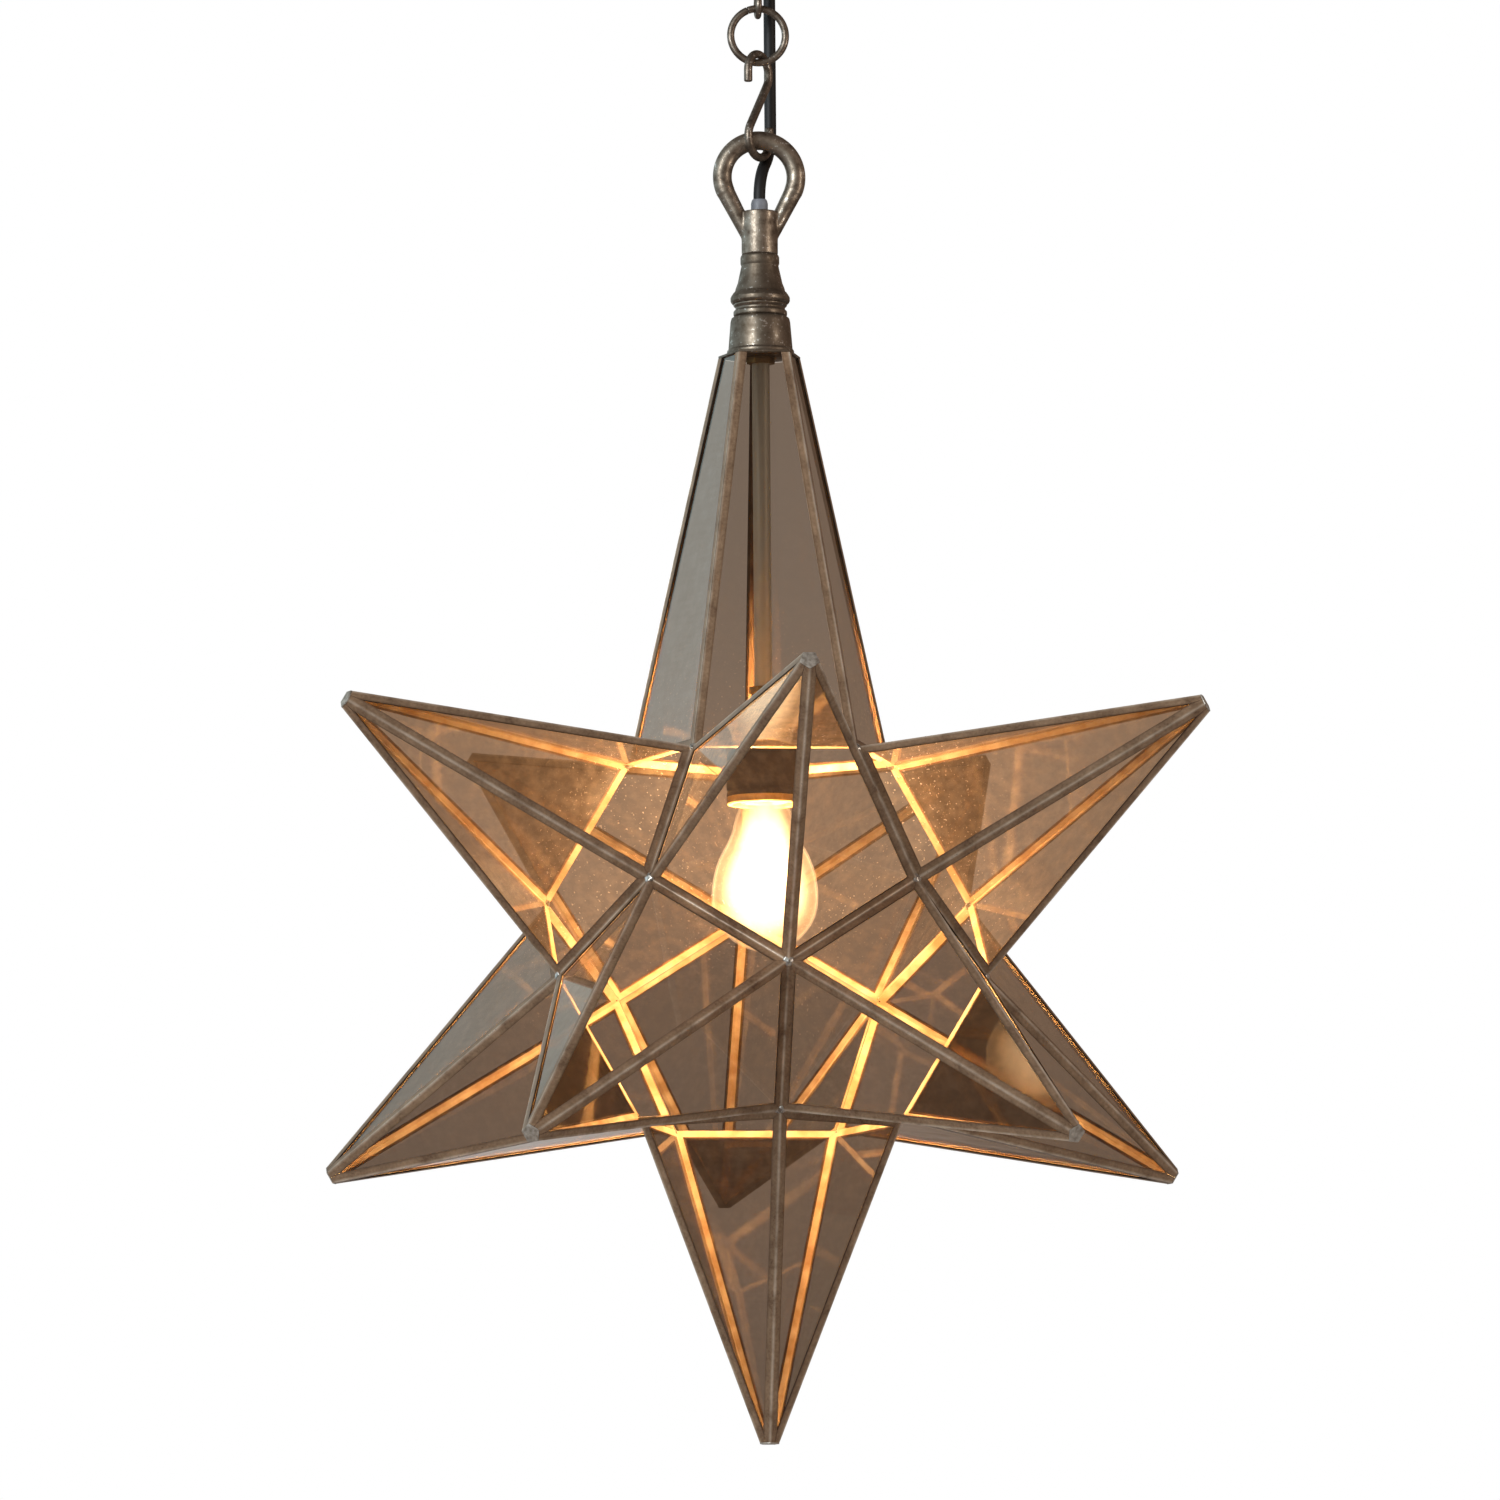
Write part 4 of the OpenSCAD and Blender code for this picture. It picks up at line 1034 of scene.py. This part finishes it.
# %% Lathe
def on_lathe(
    name, outline, body, material,
    stands_for=None, closed=True, steps=128, width=0.35, smooth=40,
):
    bm = bmesh.new()
    points = [bm.verts.new((r, 0, z)) for r, z in outline]
    lines = [bm.edges.new(pair) for pair in zip(points, points[1:])]
    if closed:
        lines.append(bm.edges.new((points[-1], points[0])))
    bmesh.ops.spin(
        bm, geom=points + lines, cent=(0, 0, 0), axis=(0, 0, 1), dvec=(0, 0, 0),
        angle=2 * pi, steps=steps, use_merge=True, use_duplicate=False,
    )
    bmesh.ops.remove_doubles(bm, verts=bm.verts, dist=0.001)
    bmesh.ops.dissolve_degenerate(bm, edges=bm.edges, dist=0.001)
    if width:
        bmesh.ops.recalc_face_normals(bm, faces=bm.faces)
        rings = [e for e in sharp(bm, 28) if abs(e.verts[0].co.z - e.verts[1].co.z) < 0.001]
        soften(bm, rings, width)
    settle(name, bm, body, [material], stands_for or [name], smooth)


print("lathe ready")

# %% [markdown]
# Between the star and the loop sit three turned pieces on one tube: a sleeve on the top
# plate, a ring with two beads and a coupler like a slim cone. Their outlines follow the
# photograph. The coupler's rings are given as shares of its height.

# %% Sleeve, bead ring and coupler
BORE = 5.15
z_sleeve, z_bead, z_coupler, z_neck, z_neck_top = 333.5, 355, 362.4, 390.4, 415.4
on_lathe("cap_sleeve", [
    (13.4, z_sleeve), (19, z_sleeve), (19, z_sleeve + 1.9), (18.2, z_sleeve + 2.7),
    (17.7, z_sleeve + 9), (16.9, z_bead - 3), (16.4, z_bead - 1), (14.9, z_bead),
    (BORE, z_bead), (BORE, z_bead - 3), (13.4, z_bead - 3),
], "star", turned_metal)
on_lathe("bead_ring", [
    (BORE, z_bead), (14.4, z_bead), (15.2, z_bead + 0.8), (15.2, z_bead + 3),
    (14, z_bead + 4.1), (14, z_bead + 5.2), (15.2, z_bead + 6.3), (15.2, z_coupler),
    (BORE, z_coupler),
], "star", turned_metal)

cone = [
    (15.8, 0), (16.8, 0.05), (16.8, 0.13), (15.2, 0.22), (14.3, 0.25), (13.7, 0.33),
    (12.7, 0.42), (10.5, 0.78), (11, 0.82), (11, 0.95), (10.4, 1),
]
cone_line = [(r, z_coupler + (z_neck - z_coupler) * share) for r, share in cone]
on_lathe(
    "cone_coupler", [(BORE, z_coupler)] + cone_line + [(BORE, z_neck)],
    "star", turned_metal,
)

# %% [markdown]
# Three smaller pieces are turned in the same way: the tapered gland that grips the flex,
# the stem tube that carries the socket, and the lock ring that holds up the canopy.

# %% Gland, stem tube and lock ring
z_stem, z_stem_top = 132.8, 404.4
z_lock, shank_bore = 544.6, 2.35
on_lathe("flex_gland", [
    (3.5, z_neck_top - 6), (4.8, z_neck_top - 6), (4.8, z_neck_top + 4.5),
    (4.4, z_neck_top + 6.2), (4.0, z_neck_top + 7), (3.5, z_neck_top + 7),
], "star", grey_plastic, steps=64, width=0.2)
on_lathe(
    "stem_tube", [(4, z_stem), (5, z_stem), (5, z_stem_top), (4, z_stem_top)],
    "star", stem_metal, steps=64, width=0.1,
)
on_lathe("lock_ring", [
    (shank_bore, z_lock), (6, z_lock), (8, z_lock + 2), (8, z_lock + 6),
    (shank_bore, z_lock + 6),
], "ceiling_fitting", turned_metal, steps=64)

# %% [markdown]
# ## Socket
# The socket hangs from the stem and takes the bulb's cap. It was pressed in three parts:
# a domed cover, a cup with a groove round it and a brass rim. The dome is part of a tall
# ball with a wall of even thickness, so two arcs make it, counted in degrees from its top.

# %% Socket
SOCKET_R, WALL = 21.1, 1.3
SOCKET_IN = SOCKET_R - WALL
z_rim, z_cup, z_dome, z_dome_top = 76.9, 81.4, 106.4, 139.8
DOME_RISE = z_dome_top - z_dome


def dome_arc(radius, rise, angles):
    return [(radius * sin(radians(t)), z_dome + rise * cos(radians(t))) for t in angles]


outside = dome_arc(SOCKET_R, DOME_RISE, range(20, 91, 5))
inside = dome_arc(SOCKET_IN, DOME_RISE - WALL, range(90, 29, -5))
crown = [(BORE, z_dome_top), (6.6, z_dome_top)]
seat = [(8, z_dome_top - 2.6), (BORE, z_dome_top - 2.6)]
on_lathe(
    "socket_dome", crown + outside + inside + seat,
    "star", black_plastic, width=0.2,
)
on_lathe("socket_body", [
    (SOCKET_IN, z_cup), (SOCKET_R, z_cup), (SOCKET_R, z_cup + 1.8), (20.6, z_cup + 2.4),
    (20.6, z_cup + 3.6), (SOCKET_R, z_cup + 4.2), (SOCKET_R, z_dome - 2.4),
    (20.8, z_dome), (SOCKET_IN, z_dome),
], "star", black_plastic, width=0.2)
on_lathe("socket_rim", [
    (17.6, z_rim), (20.4, z_rim), (SOCKET_R, z_rim + 0.9), (SOCKET_R, z_cup), (17.6, z_cup),
], "star", brass, width=0.3)

# %% [markdown]
# ## Loop
# The loop is a rough sand casting. Its solid is a union of plain forms, so a copy is
# merged, remade as even small cells and smoothed, which blends the joins as poured metal
# does. It could be sculpted instead, but this follows the solid by itself. The pits are
# in its finish.


# %% Loop casting
CELL = 0.00055
SMOOTHINGS = 5


def remade(bm, cell):
    mesh = bpy.data.meshes.new("rough")
    bm.to_mesh(mesh)
    rough = put_in_scene("rough", mesh)
    remesh = rough.modifiers.new("even_cells", "REMESH")
    remesh.mode = "VOXEL"
    remesh.voxel_size = cell
    finished = rough.evaluated_get(bpy.context.evaluated_depsgraph_get())
    made = bpy.data.meshes.new_from_object(finished)
    bpy.data.objects.remove(rough)
    out = bmesh.new()
    out.from_mesh(made)
    return out


bm = remade(merged_copy("loop_casting"), CELL)
for _ in range(SMOOTHINGS):
    bmesh.ops.smooth_vert(
        bm, verts=bm.verts, factor=0.5, use_axis_x=True, use_axis_y=True, use_axis_z=True
    )
settle(
    "loop_casting", bm, "star", [cast_metal], ["loop_casting"], 60,
    frame_made=True,
)

# %% [markdown]
# ## Hook and link
# The S-hook and the link ring are bent from round wire. A disc is swept the same way:
# spun round a centre for each bend and pushed straight between them. The lead wires in
# the bulb are made with it too.


# %% A wire that grows
class Wire:
    """A round wire that grows from a disc by bends and straight lengths."""

    SIDES = 32

    def __init__(self, radius, start, heading):
        self.bm = bmesh.new()
        self.spot, self.heading = start.copy(), heading.normalized()
        made = bmesh.ops.create_circle(
            self.bm, cap_ends=True, segments=self.SIDES, radius=radius
        )["verts"]
        turn = self.heading.to_track_quat("Z", "Y").to_matrix().to_4x4()
        bmesh.ops.transform(self.bm, matrix=Matrix.Translation(start) @ turn, verts=made)
        self.first = self.end = self.bm.faces[:][0]

    def grow(self):
        """Adds a disc to the end of the wire and returns its corners, still to be moved."""
        made = bmesh.ops.extrude_face_region(
            self.bm, geom=[self.end], use_keep_orig=self.end is self.first
        )["geom"]
        self.end = faces_of(made)[0]
        return corners_of(made)

    def straight(self, length):
        bmesh.ops.translate(self.bm, vec=self.heading * length, verts=self.grow())
        self.spot = self.spot + self.heading * length
        return self

    def bend(self, centre, axis, angle, steps):
        turn = Matrix.Rotation(angle / steps, 3, axis)
        for _ in range(steps):
            bmesh.ops.rotate(self.bm, cent=centre, matrix=turn, verts=self.grow())
            self.spot = centre + turn @ (self.spot - centre)
            self.heading = turn @ self.heading
        return self

    def round_ends(self, width):
        ends = [f for f in self.bm.faces if len(f.verts) == self.SIDES]
        soften(self.bm, list({e for f in ends for e in f.edges}), width, 3)
        return self.bm


print("wire ready")

# %% [markdown]
# The hook has a large bend at each end and a straight bar between them that touches both.
# The bar's slope follows from the two bends and the distance between their centres. The
# whole hook stands turned about the vertical, as in the photograph.


# %% S-hook
def hang(bar, end_width, height, turn, name, body):
    """Rounds the ends of a wire, stands it upright, turns it and lifts it to its height."""
    bm = bar.round_ends(end_width)
    upright = Matrix.Rotation(turn, 4, "Z") @ Matrix.Rotation(pi / 2, 4, "X")
    place = Matrix.Translation((0, 0, height)) @ upright
    bmesh.ops.transform(bm, matrix=place, verts=bm.verts)
    settle(name, bm, body, [hook_metal], [name], 50)


def s_hook():
    wire, low_r, high_r, apart = 2.4, 11.0, 10.8, 37.5
    slope = acos((low_r + high_r) / apart)
    sweep = pi + pi / 2 - slope
    spine = sqrt(apart ** 2 - (low_r + high_r) ** 2)
    axis = Vector((0, 0, 1))
    high_end, low_end = 6.5, 7.5
    bar = Wire(wire, Vector((-high_r, apart - high_end, 0)), Vector((0, 1, 0)))
    bar.straight(high_end).bend(Vector((0, apart, 0)), axis, -sweep, 28)
    bar.straight(spine).bend(Vector((0, 0, 0)), axis, sweep, 28)
    bar.straight(low_end)
    print("hook ends at", [round(v, 2) for v in bar.spot])
    hang(bar, 0.9, 457.7, radians(52), "s_hook", "hook")


s_hook()

# %% [markdown]
# The link is a ring of the same kind of wire whose ends were bent until they met. A fine
# slit stays between them, which a full circle wouldn't show.


# %% Link ring
def link_ring():
    ring_r, half_slit = 15.6, radians(0.6)
    start_angle = radians(112) + half_slit
    out = Vector((cos(start_angle), sin(start_angle), 0))
    bar = Wire(2.1, out * ring_r, Vector((-out.y, out.x, 0)))
    bar.bend(Vector((0, 0, 0)), Vector((0, 0, 1)), 2 * pi - 2 * half_slit, 96)
    hang(bar, 0.35, 516.8, 0, "link_ring", "link")


link_ring()

# %% [markdown]
# ## Bulb
# A clear pear-shaped bulb. Its outline runs round the ball, which is drawn out upwards a
# little, and in along the neck to the cap. A smooth curve through a few measured sizes
# gives enough points for an even glass; a second line inside gives it its wall.


# %% Bulb glass
def smooth_line(points, steps):
    """More points on a smooth curve through the given ones."""
    out = []
    padded = [points[0]] + list(points) + [points[-1]]
    for four in zip(padded, padded[1:], padded[2:], padded[3:]):
        for i in range(steps):
            t = i / steps
            spot = []
            for p, q, r, s in zip(*four):
                bent = (2 * p - 5 * q + 4 * r - s) * t * t + (3 * q - p - 3 * r + s) * t ** 3
                spot.append(0.5 * (2 * q + (r - p) * t + bent))
            out.append(tuple(spot))
    out.append(tuple(points[-1]))
    return out


BALL_ENDS, GLASS_WALL = 130, 0.8
ball_end = BULB_FOOT + BULB_R * (1 - BULB_RISE * cos(radians(BALL_ENDS)))
neck = BULB_CAP - ball_end
NECK_SIZES = (21, 0.13), (18.3, 0.37), (16.5, 0.64), (14, 0.89), (12.7, 1)


def bulb_line(inset):
    radius = BULB_R - inset
    ball = []
    for t in range(0, BALL_ENDS + 1, 5):
        rise = radius * cos(radians(t)) * (1 if t < 90 else BULB_RISE)
        ball.append((radius * sin(radians(t)), BULB_FOOT + BULB_R - rise))
    tail = [(size - inset, ball_end + share * neck) for size, share in NECK_SIZES]
    return ball[:-1] + smooth_line([ball[-1]] + tail, 5)


on_lathe(
    "bulb_glass", bulb_line(0) + bulb_line(GLASS_WALL)[::-1],
    "bulb", clear_glass,
    closed=False, steps=96, width=0, smooth=60,
)

# %% [markdown]
# The cap is thin sheet metal pressed into a thread, with a contact on its top. Its rings
# stand for the thread: at this size the slope of a real one would hardly show.

# %% Bulb cap
GROOVE, CREST, PITCH = 12.4, 13.05, 2.6
thread = []
for ring in range(6):
    z = BULB_CAP + 2.5 + ring * PITCH
    thread += [(GROOVE, z), (CREST, z + 0.8), (CREST, z + 1.3), (GROOVE, z + 2.1)]
skirt = [(0, BULB_CAP), (13.1, BULB_CAP), (13.1, BULB_CAP + 1.6)]
contact = [
    (GROOVE, BULB_CAP + 19), (9.1, BULB_CAP + 22), (4.8, BULB_CAP + 22),
    (4.2, BULB_TOP - 1), (2.6, BULB_TOP), (0, BULB_TOP),
]
on_lathe(
    "bulb_cap", skirt + thread + contact, "bulb", steel,
    closed=False, width=0.12, smooth=50,
)

# %% [markdown]
# Inside the glass, a mount of glass carries two lead wires that lean outwards to the ends
# of the filament. The mount is turned and the wires are grown like the hook.

# %% Mount and lead wires
MOUNT = BULB_FOOT + GLASS_HEIGHT * 0.75
FORK = 11.1
on_lathe("bulb_mount", [
    (0, MOUNT - 1), (2.2, MOUNT - 0.6), (3, MOUNT + 1), (3.4, MOUNT + 8), (6, BULB_CAP),
    (0, BULB_CAP),
], "bulb", clear_glass, ["bulb_filament"], closed=False, steps=48, width=0)

leads = bmesh.new()
for side in (-1, 1):
    top = Vector((side * 1.5, 0, MOUNT + 1))
    reach = Vector((side * FORK, 0, Z_FILAMENT)) - top
    lead = Wire(0.45, top, reach).straight(reach.length)
    join_into(leads, lead.bm)
    lead.bm.free()
settle("lead_wires", leads, "bulb", [steel])

# %% [markdown]
# The filament is a fine coil between the ends of the lead wires. Its glow is far brighter
# than white, so that it stays the brightest spot behind the smoked panes.

# %% Filament
TURNS, PER_TURN, COIL_R = 26, 10, 0.45


def lit_filament():
    p = Paint("lit_filament")
    warm = p.cloud(2.0, 2.0)
    colour = p.blend(warm.above(0.3, 0.4), (1.0, 0.62, 0.24), (1.0, 0.78, 0.45))
    return p.finish(p.skin(
        base_color=colour, roughness=0.5, emission_color=colour, emission_strength=40.0
    ))


route = []
for step in range(TURNS * PER_TURN + 1):
    t = 2 * pi * step / PER_TURN
    x = -FORK + 2 * FORK * step / (TURNS * PER_TURN)
    route.append(metres(x, COIL_R * cos(t), Z_FILAMENT + COIL_R * sin(t)))
coil_mesh = tube("coil", route, 0.00014, 1, capped=False)
coil_mesh.materials.append(lit_filament())
coil = put_in_scene("filament_coil", coil_mesh)
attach(coil, "bulb")
print("filament points:", len(route))

# %% [markdown]
# ## Small made pieces
# The bracket, nuts, hinge and the rest have the right shapes already. A copy of each is
# merged, its flat faces are made whole again, and its edges are broken with a fine bevel.
# Drawing them anew would give the same shapes, so the work goes into their edges. The
# last number of each line is the bevel's width in millimetres.


# %% Copies with broken edges
def broken_edges(name, body, material, width):
    bm = merged_copy(name)
    bmesh.ops.dissolve_limit(bm, angle_limit=radians(1), verts=bm.verts, edges=bm.edges)
    bmesh.ops.recalc_face_normals(bm, faces=bm.faces)
    soften(bm, sharp(bm), width / 1000)
    settle(name, bm, body, [material], [name], 35, frame_made=True)


for name, body, slot, material, width in [
    ("cap_plate", "star", "cast_metal", turned_metal, 0.3),
    ("cap_nut", "star", "brass", brass, 0.25),
    ("socket_nut", "star", "brass", brass, 0.25),
    ("hinge_star_leaf", "star", "brass", brass, 0.12),
    ("hinge_door_leaf", "door", "brass", brass, 0.12),
    ("hinge_pin", "star", "brass", brass, 0.1),
    ("door_pull", "door", "brass", brass, 0.2),
    ("ceiling_bracket", "ceiling_fitting", "steel", steel, 0.25),
    ("hook_nut", "ceiling_fitting", "steel", steel, 0.3),
    ("canopy", "ceiling_fitting", "cast_metal", turned_metal, 0.2),
    ("ceiling_hook", "ceiling_fitting", "hook_metal", hook_metal, 0.1),
    ("cord_grip", "ceiling_fitting", "black_plastic", black_plastic, 0.3),
    ("terminal_block", "ceiling_fitting", "ceramic", ceramic, 0.3),
    ("terminal_screws", "ceiling_fitting", "steel", steel, 0.1),
    ("rose_flex", "ceiling_fitting", "flex_sheath", flex_sheath, 0.2),
    ("stem_flex", "star", "flex_sheath", flex_sheath, 0.2),
    ("socket_insulator", "star", "ceramic", ceramic, 0.3),
    ("screw_shell", "star", "brass", brass, 0.1),
    ("socket_contact", "star", "brass", brass, 0.2),
]:
    broken_edges(name, body, material, width)

# %% [markdown]
# ## Room and light
# A product picture: white behind, a pale floor far below, soft light from the front left.
# The mirror finishes need something to mirror, so the world shows them a room: white
# behind the lamp, grey-green on the left, brown on the right and brown above and below.
# The camera sees plain white, and what the world lights gets an even grey.


# %% World
BROWN = (0.085, 0.055, 0.038)


def room():
    world = bpy.data.worlds.new("room")
    bpy.context.scene.world = world
    p = Paint("room", world)
    facing = p.add("TexCoord").outputs["Generated"]
    split = p.add("SeparateXYZ", {}, {"Vector": facing})
    x, y, z = (p.value(split.outputs[i]) for i in range(3))
    walls = p.add("ValToRGB", {"stops": [
        (0.0, (0.60, 0.76, 0.84)), (0.28, (0.52, 0.65, 0.66)), (0.43, (0.42, 0.43, 0.39)),
        (0.52, (0.23, 0.165, 0.12)), (0.72, (0.17, 0.11, 0.075)), (1.0, (0.19, 0.12, 0.08)),
    ]}, {"Fac": x * 0.5 + 0.5}).outputs[0]
    ceiling_or_floor = (z.above(0.35, 0.35) * 0.8 + (z * -1).above(0.02, 0.25) * 0.8).held()
    walls = p.blend(ceiling_or_floor, walls, BROWN)
    screen = y.above(0.975, 0.015)
    mirrored = p.blend(screen, walls, (1, 1, 1))
    path = p.add("LightPath")
    straight = p.value(path.outputs["Is Camera Ray"])
    through = p.value(path.outputs["Is Transmission Ray"])
    glossy = p.value(path.outputs["Is Glossy Ray"])
    lit = p.blend(glossy, (0.55, 0.56, 0.57), mirrored)
    final = p.blend((straight + through).held(), lit, (1, 1, 1))
    background = p.add("Background", {}, {"Color": final, "Strength": 1.0}).outputs[0]
    p.add("OutputWorld", {}, {"Surface": background})


room()
print("room ready")

# %% [markdown]
# Two soft lamps stand in for a window on the left and a warm reflector on the right. The
# third lamp is the bulb's own light. It hangs at the filament and rides on the bulb; no
# mirror shows it, because the coil is there to be seen.


# %% Lamps
def soft_lamp(name, spot, size, power, colour):
    data = bpy.data.lights.new(name, "AREA")
    data.shape = "RECTANGLE"
    data.size, data.size_y = size
    data.energy = power
    data.color = colour
    lamp = put_in_scene(name, data)
    aim = (star_centre - Vector(spot)).to_track_quat("-Z", "Y").to_matrix().to_4x4()
    lamp.matrix_world = Matrix.Translation(spot) @ aim
    print(f"{name}: {power} W")


soft_lamp("window", (-1.9, -2.2, 0.5), (0.9, 1.5), 50, (0.92, 0.97, 1.0))
soft_lamp("fill", (2.2, -1.6, -0.2), (0.5, 1.6), 12, (1.0, 0.9, 0.78))

glow = bpy.data.lights.new("bulb_light", "POINT")
glow.energy = 75
glow.color = (1.0, 0.72, 0.40)
glow.shadow_soft_size = 0.012
bulb_light = put_in_scene("bulb_light", glow)
bulb_light.location = FILAMENT
bulb_light.visible_glossy = False
bulb_body = frame["bodies"]["bulb"]
bulb_light.parent = bulb_body
bulb_light.matrix_parent_inverse = bulb_body.matrix_world.inverted()

# %% [markdown]
# The floor is a sheet of white paper far below, seen only from above: from below it lets
# the view through. Mirrors see it brown, as part of the room, or every lower pane would
# turn milky.


# %% Floor
FLOOR_Z, FLOOR_HALF = -1.6, 4


def paper():
    p = Paint("floor")
    path = p.add("LightPath")
    mirrored = p.value(path.outputs["Is Glossy Ray"])
    tone = p.cloud(900.0, 2.0)
    colour = p.blend(tone, (0.86, 0.86, 0.85), (0.9, 0.9, 0.89))
    colour = p.blend(mirrored * 0.9, colour, (0.10, 0.06, 0.04))
    sheet = p.skin(base_color=colour, roughness=0.8)
    under = p.value(p.add("NewGeometry").outputs["Backfacing"])
    gone = p.add("BsdfTransparent", {}, {"Color": (1, 1, 1)}).outputs[0]
    return p.finish(p.add("MixShader", {}, {0: under, 1: sheet, 2: gone}).outputs[0])


def floor():
    bm = bmesh.new()
    bmesh.ops.create_grid(bm, x_segments=2, y_segments=2, size=FLOOR_HALF)
    bmesh.ops.translate(bm, vec=(0, 0, FLOOR_Z), verts=bm.verts)
    mesh = bpy.data.meshes.new("floor")
    bm.to_mesh(mesh)
    bm.free()
    mesh.materials.append(paper())
    put_in_scene("floor", mesh)
    print("floor at", FLOOR_Z, "m")


floor()
